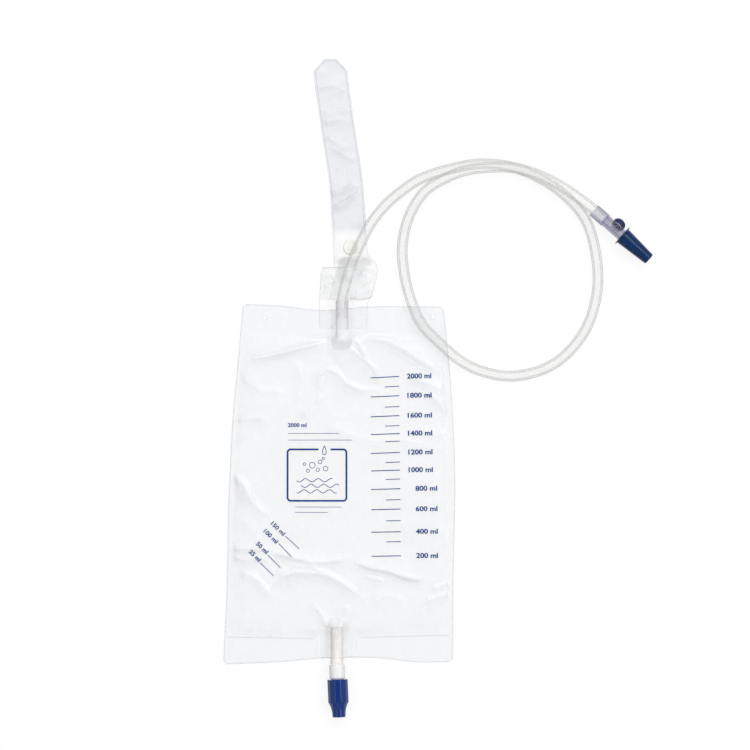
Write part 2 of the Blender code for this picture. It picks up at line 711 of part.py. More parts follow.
def make_drain_tube(parts, helpers, finishes):
    inside = [(OUTLET_X, y, drain_axis_height(y)) for y in np.linspace(DRAIN_INNER_END, COLLAR_TOP + 0.0005, 12)]
    seated = [outlet_point(along) for along in (0.0030, COLLAR_SOCKET_DEPTH - GAP)]
    line = inside + [tuple(point) for point in seated]
    beyond = 0.002
    longer = [(OUTLET_X, DRAIN_INNER_END + beyond, DRAIN_AXIS_INSIDE)] + line
    longer.append(tuple(outlet_point(COLLAR_SOCKET_DEPTH - GAP + beyond)))
    tube = meshed(bar("drain_tube", line, DRAIN_RADIUS, 6, parts), parts, finishes["drain"])
    bore = meshed(bar("drain_bore", longer, DRAIN_RADIUS - DRAIN_WALL, 6, helpers), helpers)
    bore.hide_render = True
    bore.display_type = "WIRE"
    combine(tube, bore, "DIFFERENCE")


def make_valve_body(parts, helpers, frame, finishes):
    """Collar over the drain tube, a shaft, a head with the ring groove, a windowed lantern and a sealing nose."""
    neck_end = COLLAR_LENGTH + NECK_LENGTH
    groove = RING_SECTION + GAP
    groove_floor = HEAD_RADIUS - 2.5 * RING_SECTION
    head_end = RING_STATION + groove + 0.0008
    lantern_end = SHOULDER_STATION + (HEAD_RADIUS - LANTERN_RADIUS) / 2
    nose_end = NOSE_STATION + NOSE_LENGTH
    socket = DRAIN_RADIUS + GAP
    bore_end = SHOULDER_STATION - 0.0012
    profile = (
        (socket, 0.0), (COLLAR_RADIUS - COLLAR_CHAMFER, 0.0), (COLLAR_RADIUS, COLLAR_CHAMFER),
        (COLLAR_RADIUS, COLLAR_LENGTH - COLLAR_CHAMFER), (COLLAR_RADIUS - COLLAR_CHAMFER, COLLAR_LENGTH),
        (NECK_RADIUS, COLLAR_LENGTH), (NECK_RADIUS, GRIP_START - GAP), (SHAFT_RADIUS, GRIP_START - GAP),
        (SHAFT_RADIUS, HEAD_STATION), (HEAD_RADIUS, HEAD_STATION),
        (HEAD_RADIUS, RING_STATION - groove), (groove_floor, RING_STATION - groove),
        (groove_floor, RING_STATION + groove), (HEAD_RADIUS, RING_STATION + groove),
        (HEAD_RADIUS, head_end), (LANTERN_RADIUS, head_end + 0.0006), (LANTERN_RADIUS, lantern_end),
        (NOSE_RADIUS, NOSE_STATION), (NOSE_RADIUS, nose_end - 0.0006),
        (NOSE_RADIUS - 0.0006, nose_end), (0.0, nose_end), (0.0, bore_end), (STEM_BORE, bore_end),
        (STEM_BORE, COLLAR_SOCKET_DEPTH), (socket, COLLAR_SOCKET_DEPTH),
    )
    assert neck_end > GRIP_START
    valve = turned("valve_body", profile, parts, finishes["collar"], frame)
    bpy.ops.mesh.primitive_cylinder_add(vertices=16, radius=WINDOW_RADIUS, depth=0.03)
    window = bpy.context.object
    window.name = "valve_window"
    move_to(window, helpers)
    window.parent = frame
    window.hide_render = True
    window.display_type = "WIRE"
    window.location = (0.0, 0.0, SHOULDER_STATION - WINDOW_FROM_SHOULDER)
    window.rotation_euler = (0.0, math.pi / 2, 0.0)
    combine(valve, window, "DIFFERENCE")


def make_seal_ring(parts, frame, finishes):
    middle = HEAD_RADIUS - 0.9 * RING_SECTION
    bpy.ops.mesh.primitive_torus_add(major_radius=middle, minor_radius=RING_SECTION, major_segments=FINE_STEPS,
                                     minor_segments=8)
    ring = bpy.context.object
    ring.name = "valve_seal_ring"
    ring.data.name = "valve_seal_ring"
    move_to(ring, parts)
    ring.parent = frame
    ring.location = (0.0, 0.0, RING_STATION)
    ring.data.materials.append(finishes["rubber"])
    ring.data.shade_smooth()


def make_drain_sleeve(parts, helpers, frame, finishes):
    """Twelve-sided grip with a waisted nozzle. Its lip slides on the shaft, and the head stops it."""
    slide = frame_at("sleeve_axis", parts, outlet_point(GRIP_START), (0, 0, 1), outlet_direction())
    grip_end = GRIP_LENGTH
    end = GRIP_LENGTH + TAPER_LENGTH
    shoulder = GRIP_FLATS / 2
    waist = []
    steps = 7
    for step in range(steps + 1):
        t = step / steps
        radius = NOZZLE_RADIUS + (shoulder - NOZZLE_RADIUS) * (1 - t) ** 2.4
        waist.append((radius, grip_end + 0.0006 + (TAPER_LENGTH - 0.0006) * t))
    lip = SHAFT_RADIUS + GAP
    chamber = HEAD_RADIUS + GAP
    throat = NOSE_RADIUS + GAP
    cone = SHOULDER_STATION - GRIP_START + 1.2 * GAP
    cone_end = cone + (chamber - throat) / 2
    nose_end = NOSE_STATION + NOSE_LENGTH - GRIP_START + 0.001
    corner = GRIP_CORNER_RADIUS
    profile = [(lip, 0.0), (corner - 0.0004, 0.0), (corner, 0.0004), (corner, grip_end), *waist]
    profile += [(NOZZLE_BORE, end), (NOZZLE_BORE - 0.0002, nose_end), (throat, nose_end - 0.0004)]
    profile += [(throat, cone_end), (chamber, cone), (chamber, LIP_LENGTH), (lip, LIP_LENGTH)]
    sleeve = turned("drain_sleeve", profile, parts, finishes["valve_blue"], slide)
    bpy.ops.mesh.primitive_cylinder_add(vertices=GRIP_SIDES, radius=corner, depth=2 * end)
    prism = bpy.context.object
    prism.name = "grip_flats"
    move_to(prism, helpers)
    prism.parent = slide
    prism.rotation_euler = (0.0, 0.0, math.pi / GRIP_SIDES)
    prism.hide_render = True
    prism.display_type = "WIRE"
    combine(sleeve, prism, "INTERSECT")


def make_outlet(parts, helpers, finishes):
    make_drain_tube(parts, helpers, finishes)
    frame = frame_at("outlet_axis", parts, outlet_point(0.0), (0, 0, 1), outlet_direction())
    make_valve_body(parts, helpers, frame, finishes)
    make_seal_ring(parts, frame, finishes)
    make_drain_sleeve(parts, helpers, frame, finishes)


# Connector end


def connector_axes():
    """The connector's mouth, its direction, and the direction of its sampling port."""
    direction = Vector((math.cos(CONNECTOR_HEADING), math.sin(CONNECTOR_HEADING), 0.0))
    beside = Vector((-direction.y, direction.x, 0.0))
    sample = beside * math.cos(SAMPLE_DIP) - Vector((0.0, 0.0, math.sin(SAMPLE_DIP)))
    return Vector((*CONNECTOR_MOUTH, CONNECTOR_AXIS_HEIGHT)), direction, sample


def make_connector(parts, helpers, frame, finishes):
    """Tube socket, clear body with a sampling port on its side, and a ribbed cone for the catheter."""
    body_end = CAP_STATION
    ring_start, ring_end = (body_end + place for place in SEAT_RING_SPAN)
    cone_end = body_end + CONE_LENGTH
    profile = [
        (PORT_BORE, 0.0), (SOCKET_RADIUS - 0.0002, 0.0), (SOCKET_RADIUS, 0.0003),
        (SOCKET_RADIUS, SOCKET_LENGTH - 0.0002), (BODY_RADIUS, SOCKET_LENGTH), (BODY_RADIUS, ring_start),
        (SEAT_RING_RADIUS, ring_start + 0.0002), (SEAT_RING_RADIUS, ring_end), (CONE_BASE_RADIUS, ring_end),
    ]
    rib_pitch = (CONE_LENGTH - SEAT_RING_SPAN[1]) / (CONE_RIBS + 1)
    for rib in range(1, CONE_RIBS + 1):
        place = ring_end + rib * rib_pitch
        share = rib / (CONE_RIBS + 1)
        radius = CONE_BASE_RADIUS + (CONE_TIP_RADIUS - CONE_BASE_RADIUS) * share
        profile += [(radius, place - 0.0002), (radius + CONE_RIB_HEIGHT, place), (radius, place + 0.0020)]
    profile += [
        (CONE_TIP_RADIUS, cone_end - 0.0004), (CONE_TIP_RADIUS - 0.0003, cone_end), (FLOW_BORE, cone_end),
        (FLOW_BORE, SOCKET_DEPTH), (PORT_BORE, SOCKET_DEPTH),
    ]
    connector = turned("catheter_connector", profile, parts, finishes["port"], frame)
    side = bpy.data.objects.new("sample_axis", None)
    side.empty_display_size = 0.01
    parts.objects.link(side)
    side.parent = frame
    side.location = (0.0, 0.0, SAMPLE_STATION)
    side.rotation_euler = (0.0, math.pi / 2, 0.0)
    flange_foot = BOSS_REACH - BOSS_FLANGE_HEIGHT
    root = FLOW_BORE + 0.0010
    boss_profile = (
        (BOSS_BORE, root), (BOSS_RADIUS, root), (BOSS_RADIUS, flange_foot - 0.0003),
        (BOSS_FLANGE_RADIUS, flange_foot), (BOSS_FLANGE_RADIUS, BOSS_REACH), (BOSS_BORE, BOSS_REACH),
    )
    solid_profile = tuple((radius, along) for radius, along in boss_profile if radius > BOSS_BORE)
    solid_profile = ((0.0, root),) + solid_profile + ((0.0, BOSS_REACH),)
    boss = turned("sample_boss", solid_profile, helpers, frame=side, steps=SMALL_STEPS)
    bore = turned("sample_bore", ((0.0, 0.0), (BOSS_BORE, 0.0), (BOSS_BORE, 0.02), (0.0, 0.02)), helpers,
                  frame=side, steps=SMALL_STEPS)
    for helper in (boss, bore):
        helper.hide_render = True
        helper.display_type = "WIRE"
    combine(connector, boss, "UNION")
    combine(connector, bore, "DIFFERENCE")
    return side


def make_septum(parts, side, finishes):
    plug = BOSS_BORE - GAP
    top = SEPTUM_FOOT + SEPTUM_HEIGHT
    start = SEPTUM_FOOT - SEPTUM_PLUG_LENGTH
    profile = (
        (0.0, start), (plug - 0.0003, start), (plug, start + 0.0003), (plug, SEPTUM_FOOT),
        (SEPTUM_RADIUS - 0.0002, SEPTUM_FOOT), (SEPTUM_RADIUS, SEPTUM_FOOT + 0.0003), (SEPTUM_RADIUS, top - 0.0004),
        (SEPTUM_RADIUS - 0.0005, top), (SEPTUM_RADIUS / 2, top + SEPTUM_DOME), (0.0, top + SEPTUM_DOME),
    )
    turned("sample_septum", profile, parts, finishes["cap_blue"], side, SMALL_STEPS)


def make_cap(parts, mouth, direction, sample, finishes):
    slide = frame_at("cap_axis", parts, mouth + direction * (CAP_STATION + GAP), sample, direction)
    end = CAP_LENGTH - GAP
    inner = CAP_MOUTH_RADIUS - CAP_WALL
    inner_tip = CAP_TIP_RADIUS - CAP_WALL
    profile = [(inner, 0.0), (CAP_BRIM_RADIUS, 0.0), (CAP_BRIM_RADIUS, CAP_BRIM_HEIGHT),
               (CAP_MOUTH_RADIUS, CAP_BRIM_HEIGHT + 0.0003)]
    for step in range(5):
        angle = step / 4 * math.pi / 2
        profile.append((CAP_TIP_RADIUS - CAP_TIP_ROUND * (1 - math.cos(angle)),
                        end - CAP_TIP_ROUND * (1 - math.sin(angle))))
    profile += [(0.0, end), (0.0, end - 1.5 * CAP_WALL), (inner_tip - 0.0006, end - 1.5 * CAP_WALL),
                (inner_tip, end - 1.5 * CAP_WALL - 0.0006)]
    turned("protective_cap", profile, parts, finishes["cap_blue"], slide)


def make_connector_end(parts, helpers, finishes):
    mouth, direction, sample = connector_axes()
    frame = frame_at("connector_axis", parts, mouth, sample, direction)
    side = make_connector(parts, helpers, frame, finishes)
    make_septum(parts, side, finishes)
    make_cap(parts, mouth, direction, sample, finishes)


# Inlet tube


def tube_route():
    """From inside the inlet port, along the chosen route, and straight into the connector's socket."""
    mouth, direction, _ = connector_axes()
    start = [(PORT_X, PORT_TOP - PORT_INSERTION, PORT_AXIS_HEIGHT), (PORT_X, PORT_TOP, PORT_AXIS_HEIGHT)]
    end = [mouth + direction * along for along in (-LEAD_IN, 0.0, SOCKET_DEPTH - GAP)]
    return start + list(ROUTE) + [tuple(point) for point in end]


def make_inlet_tube(parts, finishes):
    bar("inlet_tube", smooth_points(tube_route(), ROUTE_SAMPLES), TUBE_RADIUS, 3, parts, finishes["tube"])


def main():
    clear_scene()
    parts = new_collection("urine_drainage_bag")
    helpers = new_collection("cutters", helper=True)
    finishes = {
        "film": material("clear_pvc_film", "EEF0F3", 0.25, 0.6),
        "strap": material("frosted_pvc_film", "EBECEF", 0.35, 0.4),
        "leaf": material("thin_valve_film", "E6E8EC", 0.3, 0.5),
        "port": material("violet_clear_plastic", "B9B6D6", 0.12, 0.6),
        "tube": material("clear_pvc_tube", "E4E6E2", 0.1, 0.8),
        "drain": material("cream_soft_pvc", "E9E4DA", 0.4),
        "collar": material("white_polypropylene", "F1F0EF", 0.3),
        "button": material("ivory_polypropylene", "F6F5EC", 0.35),
        "rubber": material("grey_seal_rubber", "55585C", 0.6),
        "valve_blue": material("mid_blue_polypropylene", "1B4188", 0.28),
        "cap_blue": material("dark_blue_polyethylene", "0E3A78", 0.3),
    }
    make_films(parts, helpers, finishes)
    make_sleeve_valve(parts, finishes)
    make_inlet_port(parts, helpers, finishes)
    make_strap(parts, helpers, finishes)
    make_button(parts, finishes)
    make_cover(parts, finishes)
    make_outlet(parts, helpers, finishes)
    make_connector_end(parts, helpers, finishes)
    make_inlet_tube(parts, finishes)
    bpy.context.view_layer.update()


main()
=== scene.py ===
"""Two-litre urine drainage bag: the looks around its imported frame.

Everything is in metres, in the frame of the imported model: the bag lies on the table, +Y runs up to its
hanging strap, and +Z points at the camera. Tables of creases, folds and print are in millimetres, and say so.
"""

import math
import random

import bmesh
import bpy
import numpy as np
from mathutils import Matrix, Vector
from mathutils.bvhtree import BVHTree


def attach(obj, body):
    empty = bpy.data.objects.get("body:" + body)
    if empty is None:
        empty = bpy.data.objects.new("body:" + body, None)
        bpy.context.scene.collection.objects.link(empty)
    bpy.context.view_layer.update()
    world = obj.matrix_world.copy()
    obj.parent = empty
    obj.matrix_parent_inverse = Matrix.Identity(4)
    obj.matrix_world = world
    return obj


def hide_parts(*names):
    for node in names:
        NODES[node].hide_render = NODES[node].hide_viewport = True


bl_info = {
    "name": "Urine Drainage Bag",
    "version": (1, 0, 0),
    "blender": (4, 5, 0),
    "location": "3D View > Sidebar > Drainage Bag",
    "description": "Builds an empty two-litre drainage bag, piece by piece, around its packed frame",
    "category": "Add Mesh",
}

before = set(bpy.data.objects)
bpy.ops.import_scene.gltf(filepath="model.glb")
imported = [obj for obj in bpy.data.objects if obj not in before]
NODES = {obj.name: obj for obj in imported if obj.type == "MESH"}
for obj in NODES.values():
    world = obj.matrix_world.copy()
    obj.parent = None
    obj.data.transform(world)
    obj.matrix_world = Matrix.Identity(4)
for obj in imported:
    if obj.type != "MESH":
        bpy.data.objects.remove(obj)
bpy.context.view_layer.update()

# Shared clearances and the bag's films, as in the part's source
GAP = 0.0003
ABOVE_TABLE = 0.0001
BAG_WIDTH = 0.208
BAG_HEIGHT = 0.3245
FILM_THICKNESS = 0.00035
SIDE_WELD = 0.0025
TOP_WELD = 0.0225
CORNER_ROUND = 0.0045
PUFF = 0.0022
PUFF_RISE = 0.018
CORNER_HOLE_RADIUS = 0.0020
CORNER_HOLES = ((-0.0670, 0.1496), (0.0846, 0.1508))
LEFT_EDGE = ((0.0, 0.0), (0.2, 0.0031), (0.45, 0.0048), (0.70, 0.0090), (0.85, 0.0135), (1.0, 0.0178))
RIGHT_EDGE = ((0.0, 0.0020), (0.3, 0.0009), (0.5, -0.0004), (0.7, 0.0019), (0.85, 0.0055), (1.0, 0.0106))
TOP_EDGE = ((0.0, 0.0004), (0.2, 0.0023), (0.38, 0.0060), (0.62, 0.0030), (1.0, 0.0028))
BOTTOM_EDGE = ((0.0, 0.0002), (0.24, 0.0023), (0.46, 0.0060), (0.7, 0.0055), (0.83, 0.0025), (1.0, 0.0024))

# The line where the bottom weld ends, across the bag
WELD_LINE = ((-0.1035, -0.1377), (-0.0207, -0.1391), (0.0180, -0.1382), (0.1003, -0.1359))

# Creases of the front film, in millimetres: points, height, and how far each side of the crest falls away
CREASES = (
    (((-9, 129), (-14, 128), (-48, 119), (-75, 113), (-84, 111)), 3.2, 3.4, 2.0),
    (((9, 137), (28, 134), (44, 128), (57, 122), (72, 112), (84, 105), (99, 98)), 3.4, 9.0, 4.5),
    (((62, 101), (69, 95), (84, 89), (99, 83)), 2.4, 7.0, 3.0),
    (((80, 84), (87, 76), (101, 61)), 2.4, 6.0, 3.0),
    (((36, 84), (19, 85), (6, 91), (-1, 100), (-9, 103), (-17, 98), (-18, 88), (-13, 81)), 2.2, 3.6, 2.6),
    (((-12, 82), (-22, 73), (-29, 65), (-35, 58)), 1.6, 2.4, 3.6),
    (((-22, 57), (-3, 50), (19, 40), (40, 38), (59, 39), (93, 31)), 2.0, 6.0, 9.0),
    (((-95, 55), (-82, 59), (-66, 59)), 1.5, 3.5, 2.2),
    (((-99, 12), (-85, -1), (-77, -17), (-62, -31)), 2.6, 2.4, 6.0),
    (((-99, -58), (-83, -58), (-62, -59)), 2.0, 3.5, 2.2),
    (((-99, -65), (-85, -68), (-61, -67)), 1.7, 3.0, 3.0),
    (((-64, -60), (-41, -66), (-25, -70), (-12, -70), (12, -67)), 3.0, 5.0, 2.6),
    (((10, -68), (27, -75), (45, -78), (61, -84), (80, -87)), 3.0, 5.0, 2.4),
    (((-44, -73), (-25, -75), (-10, -79)), 1.4, 2.5, 2.0),
    (((-61, -94), (-50, -82), (-38, -79), (-12, -81), (5, -90), (21, -103)), 3.4, 3.0, 7.0),
    (((20, -82), (41, -87)), 1.3, 2.0, 2.0),
    (((-90, -79), (-77, -83), (-69, -91), (-60, -102)), 2.2, 2.6, 6.0),
    (((82, -95), (89, -93), (101, -87)), 2.0, 2.6, 3.0),
    (((76, -107), (90, -101), (102, -98)), 1.8, 2.6, 4.0),
    (((-24, -107), (-15, -118), (-10, -131)), 1.7, 3.0, 2.2),
    (((8, -107), (5, -119), (4, -131)), 2.0, 2.2, 3.0),
    (((0, 132), (15, 118), (37, 100)), 1.2, 1.4, 1.8),
    (((12, 134), (19, 124), (26, 113)), 1.1, 1.4, 1.8),
    (((-60, -8), (-30, -14), (8, -30)), 0.9, 8.0, 9.0),
    (((40, -40), (70, -34), (96, -42)), 0.9, 9.0, 8.0),
    (((-88, 96), (-70, 84), (-48, 82)), 1.2, 5.0, 3.0),
    (((-40, 112), (-34, 92), (-40, 74)), 1.1, 4.0, 3.0),
    (((70, 52), (84, 44), (98, 46)), 1.0, 4.0, 3.0),
    (((-90, -30), (-76, -42), (-70, -56)), 1.1, 4.0, 3.0),
    (((30, -108), (44, -100), (58, -104)), 1.2, 4.0, 3.0),
)
# How softly a crest turns over
CREST_ROUND = 0.0013
# The same for the welded top band, where the film is nearly flat
BAND_CREASES = (
    (((-56, 155), (-38, 147), (-31, 137)), 0.35, 2.0, 3.0),
    (((-88, 145), (-80, 153), (-70, 158)), 0.25, 2.5, 2.5),
    (((64, 158), (72, 146), (76, 138)), 0.30, 2.5, 2.5),
)

# Inlet port, non-return sleeve
TUBE_RADIUS = 0.0048
TUBE_BORE = 0.0033
PORT_X = 0.0028
PORT_TOP = 0.1650
PORT_LENGTH = 0.0345
PORT_WALL = 0.0006
PORT_SLANT = math.radians(38)
PORT_INSERTION = 0.0156
LEAF_THICKNESS = 0.0003
LEAF_WIDTH = 0.0270
LEAF_LENGTH = 0.0440
LEAF_DRIFT = 0.0200
LEAF_OVERLAP = 0.0030

# Hanging strap
STRAP_THICKNESS = 0.0004
STRAP_WIDTH = 0.0305
STRAP_TOP = 0.3827
STRAP_LEAN = ((0.2070, 0.0106), (0.2340, 0.0090), (0.2750, 0.0060), (0.3090, 0.0008), (0.3440, -0.0042),
              (0.3700, -0.0075), (0.3827, -0.0076))
STRAP_TIP_WIDTH = 0.0105
STRAP_TIP_LENGTH = 0.0112
STRAP_SLITS = (0.3440, 0.3123, 0.2790)
SLIT_LENGTH = 0.0100
BORDER_INSET = 0.0017
# The strap is two-ply down to here
PLY_END = 0.2190
TAB_FOOT = 0.1395
TAB_LEFT = ((0.1395, -0.0179), (0.1598, -0.0179), (0.1894, -0.0165), (0.1958, -0.0140))
TAB_RIGHT = ((0.1395, 0.0252), (0.1625, 0.0258), (0.1687, 0.0292), (0.1836, 0.0337), (0.1935, 0.0350),
             (0.1976, 0.0337))
TAB_SHOULDER = 0.1960
TAB_RISE = (0.1640, 0.1760)
COVER_FOOT = 0.1666
COVER_TOP = 0.1945
STRAP_CREASES = (
    (((-22, 355), (-6, 359), (8, 352)), 0.8, 2.0, 3.5),
    (((-19, 336), (-5, 333), (11, 337)), 0.5, 2.0, 2.0),
    (((-15, 324), (-2, 328), (13, 326)), 0.8, 1.5, 3.0),
    (((-12, 314), (-4, 308), (4, 302), (8, 300)), 0.7, 2.0, 3.0),
    (((-9, 304), (2, 298), (16, 290)), 0.6, 2.5, 2.5),
    (((-8, 260), (4, 264), (18, 271)), 1.3, 1.5, 3.5),
    (((-6, 247), (4, 252), (16, 262)), 1.1, 1.5, 3.0),
    (((-4, 232), (8, 236), (24, 232)), 0.4, 4.0, 4.0),
    (((-8, 202), (2, 204), (14, 204), (28, 202), (34, 200)), 2.2, 1.6, 6.0),
    (((-14, 176), (-8, 182), (-4, 190)), 0.5, 2.0, 2.5),
)
# The strap's sharpest fold: a grey line of painted shade runs along its foot
STRAP_FOLD_SHADE = ((-3.4, 250.6), (1, 254.0), (9, 257.8), (15, 262.5), (18.6, 268.0))
# Where the strap's foot is folded under itself: a grey band of painted shade runs along these lines
FOOT_FOLD_SHADE_LINES = (((3, 199), (8, 200), (15, 199), (25, 201)), ((3, 195), (4, 185)), ((15, 195), (21, 193)))
COVER_CREASES = (
    (((9, 182), (13, 188), (19, 190), (25, 187), (24, 181), (19, 176)), 1.5, 2.4, 3.6),
    (((10, 169), (18, 170), (27, 174), (33, 178)), 1.5, 2.0, 3.6),
    (((-17, 186), (-8, 189), (-2, 187)), 0.9, 2.4, 4.0),
    (((-14, 171), (-9, 176), (-4, 183)), 0.9, 3.0, 4.4),
)

# Sharp folds of the cover drawn as thin lines, in millimetres: lines of painted shade, then lines of painted
# highlight
COVER_FOLD_SHADE_LINES = (
    ((-15, 194.4), (-8, 194.8), (-1, 194.6), (5, 194.2)),
    ((30, 169), (25, 166.8), (19, 166.0), (10, 166.8)),
)
COVER_FOLD_HIGHLIGHT_LINES = (
    ((15, 189.6), (21, 190.6), (29, 191.4)),
    ((15.5, 188.2), (20.7, 187.2), (24.3, 188.1), (26.1, 183.6), (24.3, 179.1), (20, 176)),
    ((30.5, 170.2), (25, 168), (19, 167.1), (11, 168)),
)
FOLD_LINE_WIDTH = 0.0008

# Button
BUTTON_CENTRE = (0.0104, 0.2129)
BUTTON_RADIUS = 0.0066
BUTTON_HEAD_HEIGHT = 0.0018
BUTTON_STEM_RADIUS = 0.0020
BUTTON_FLANGE_RADIUS = 0.0048
BUTTON_FLANGE_HEIGHT = 0.0008
BUTTON_SPREAD = 0.0140

# Outlet
OUTLET_X = -0.0018
DRAIN_RADIUS = 0.00575
DRAIN_WALL = 0.0012
DRAIN_INNER_END = -0.1284
DRAIN_BEND = (-0.1485, -0.1605)
COLLAR_TOP = -0.1620
OUTLET_LEAN = math.radians(2.4)
COLLAR_RADIUS = 0.0071
COLLAR_LENGTH = 0.0123
COLLAR_SOCKET_DEPTH = 0.0093
NECK_RADIUS = 0.0062
GRIP_SIDES = 12
GRIP_FLATS = 0.0183
GRIP_LENGTH = 0.0200
GRIP_START = 0.0131
TAPER_LENGTH = 0.0139
NOZZLE_RADIUS = 0.00595
NOZZLE_BORE = 0.0046
SHAFT_RADIUS = 0.0050
HEAD_RADIUS = 0.0057
STEM_BORE = 0.0027
LANTERN_RADIUS = 0.0046
NOSE_RADIUS = 0.0040
NOSE_LENGTH = 0.0050
LIP_LENGTH = 0.0009
SHOULDER_STATION = 0.0305
HEAD_STATION = 0.0203

# Connector end
CONNECTOR_MOUTH = (0.2287, 0.2461)
CONNECTOR_HEADING = math.atan2(-0.664, 0.748)
SOCKET_RADIUS = 0.0061
SOCKET_LENGTH = 0.0146
SOCKET_DEPTH = 0.0120
BODY_RADIUS = 0.00535
BODY_LENGTH = 0.0190
FLOW_BORE = 0.0024
CONE_LENGTH = 0.0290
CONE_FOOT = 0.0027
CONE_BASE_RADIUS = 0.0049
CONE_TIP_RADIUS = 0.0036
SAMPLE_STATION = 0.0256
SAMPLE_DIP = math.radians(45)
BOSS_RADIUS = 0.0050
BOSS_REACH = 0.0074
BOSS_BORE = 0.0032
BOSS_FLANGE_RADIUS = 0.0057
SEPTUM_RADIUS = 0.0059
SEPTUM_HEIGHT = 0.0016
SEPTUM_DOME = 0.0004
CAP_BRIM_RADIUS = 0.0095
CAP_BRIM_HEIGHT = 0.0009
CAP_MOUTH_RADIUS = 0.0078
CAP_TIP_RADIUS = 0.00535
CAP_LENGTH = 0.0330
CAP_WALL = 0.0010
CAP_TIP_ROUND = 0.0011

# The inlet tube's route between its port and its connector, at the middle of the tube
ROUTE = (
    (0.0056, 0.1791, 0.0069), (0.0121, 0.1998, 0.0080), (0.0166, 0.2106, 0.0090), (0.0214, 0.2205, 0.0081),
    (0.0291, 0.2349, 0.0057), (0.0412, 0.2502, 0.0049), (0.0545, 0.2619, 0.0049), (0.0738, 0.2747, 0.0049),
    (0.1143, 0.2864, 0.0049), (0.1359, 0.2878, 0.0049), (0.1575, 0.2844, 0.0049),
    (0.1791, 0.2758, 0.0049), (0.2007, 0.2617, 0.0049), (0.2214, 0.2382, 0.0049), (0.2315, 0.2032, 0.0049),
    (0.2317, 0.1704, 0.0049), (0.2198, 0.1358, 0.0049), (0.1927, 0.1078, 0.0049), (0.1566, 0.0971, 0.0049),
    (0.1265, 0.1022, 0.0049), (0.1071, 0.1123, 0.0057), (0.0909, 0.1265, 0.0074), (0.0750, 0.1429, 0.0072),
    (0.0666, 0.1602, 0.0067), (0.0599, 0.1831, 0.0052), (0.0569, 0.2088, 0.0049), (0.0592, 0.2286, 0.0049),
    (0.0660, 0.2470, 0.0058), (0.0770, 0.2628, 0.0082), (0.0927, 0.2732, 0.0113), (0.1143, 0.2816, 0.0143),
    (0.1359, 0.2842, 0.0149), (0.1575, 0.2837, 0.0149), (0.1791, 0.2774, 0.0149), (0.2007, 0.2664, 0.0144),
)
TUBE_ON_BAG = slice(19, 25)
TUBE_TROUGH = 0.0130
LEAD_IN = 0.0070

# Heights that follow from the stack of films
WELD_HEIGHT = FILM_THICKNESS + GAP
PORT_BORE = TUBE_RADIUS + GAP
PORT_RADIUS = PORT_BORE + PORT_WALL
PORT_AXIS_HEIGHT = WELD_HEIGHT + STRAP_THICKNESS + GAP + PORT_RADIUS
LEAF_TOP = PORT_TOP - PORT_LENGTH + LEAF_OVERLAP
FRONT_LEAF_HEIGHT = WELD_HEIGHT + LEAF_THICKNESS + GAP
DRAIN_AXIS_INSIDE = WELD_HEIGHT + DRAIN_RADIUS
OUTLET_AXIS_HEIGHT = GRIP_FLATS / 2 / math.cos(math.pi / GRIP_SIDES) + ABOVE_TABLE
NOSE_STATION = SHOULDER_STATION + (HEAD_RADIUS - NOSE_RADIUS) / 2
CAP_STATION = SOCKET_LENGTH + BODY_LENGTH
SEPTUM_FOOT = BOSS_REACH + GAP
SEPTUM_REST = (SEPTUM_FOOT + SEPTUM_HEIGHT) * math.sin(SAMPLE_DIP) + SEPTUM_RADIUS * math.cos(SAMPLE_DIP)
CONNECTOR_AXIS_HEIGHT = SEPTUM_REST + ABOVE_TABLE
MM = 0.001

# How the front film's pillow and crumples are drawn: heights, and (seed, wave) of each pattern
PILLOW_LEVEL = 0.75
PILLOW_SWELL = 0.35
PILLOW_WAVES = (3, 0.055)
CRUMPLE_HEIGHT = 0.0021
BROAD_CRUMPLE = (5, 0.036)
FINE_CRUMPLE_HEIGHT = 0.0003
FINE_CRUMPLE = (6, 0.012)
BAND_CRUMPLE_HEIGHT = 0.00022
BAND_CRUMPLE = (8, 0.014)
CREASE_SIDE_RISE = 0.006
CREASE_END_RISE = 0.008
# Share of a crease's length over which each end fades, and the height left at its very end
CREASE_FADE = 0.22
CREASE_END = 0.15
# How far the film's own height adds to that of an insert under it, where both lift it
INSERT_BLEND = 0.35
# Films draped over the port and the drain tube: length of their fade, and reach to each side
PORT_FADE = 0.0140
PORT_REACH = 0.0100
DRAIN_FADE = 0.0120
DRAIN_REACH = 0.0105
LEAF_FADE = 0.0110
LEAF_REACH = 0.0090
# How far the grid's columns crowd towards the ports
COLUMN_SHIFT = 0.07
# Mid heights of the back film, and of the beads on the welds
BACK_LEVEL = 0.00015
RIM_LEVEL = 0.0007
# Radius of the beads around the corner holes
HOLE_BEAD = 0.00028

# Strap and cover: slow ripples as (seed, wave), and flat sizes
STRAP_COLUMNS = 44
STRAP_RIPPLE_HEIGHT = 0.00016
STRAP_RIPPLE = (11, 0.014)
SLIT_HALF_GAP = 0.00016
COVER_RIPPLE_HEIGHT = 0.0001
COVER_RIPPLE = (21, 0.014)
COVER_INSET = 0.0006
COVER_REACH = 0.0125
COVER_LIFT = 0.0004

# Fineness of the meshes: angles in degrees past which an edge is sharp, and lengths too small to count
NO_SHARP_EDGE = 180.0
TUBE_SHARP = 50.0
BEAD_SHARP = 35.0
TURNED_SHARP = 28.0
BEAD_SIDES = 6
TOUCHING = 1e-6
AXIS_REACH = 1e-7
NEARLY_STRAIGHT = math.radians(158)
PRISM_EDGE_WEAR = 0.00012


# Heights and outlines


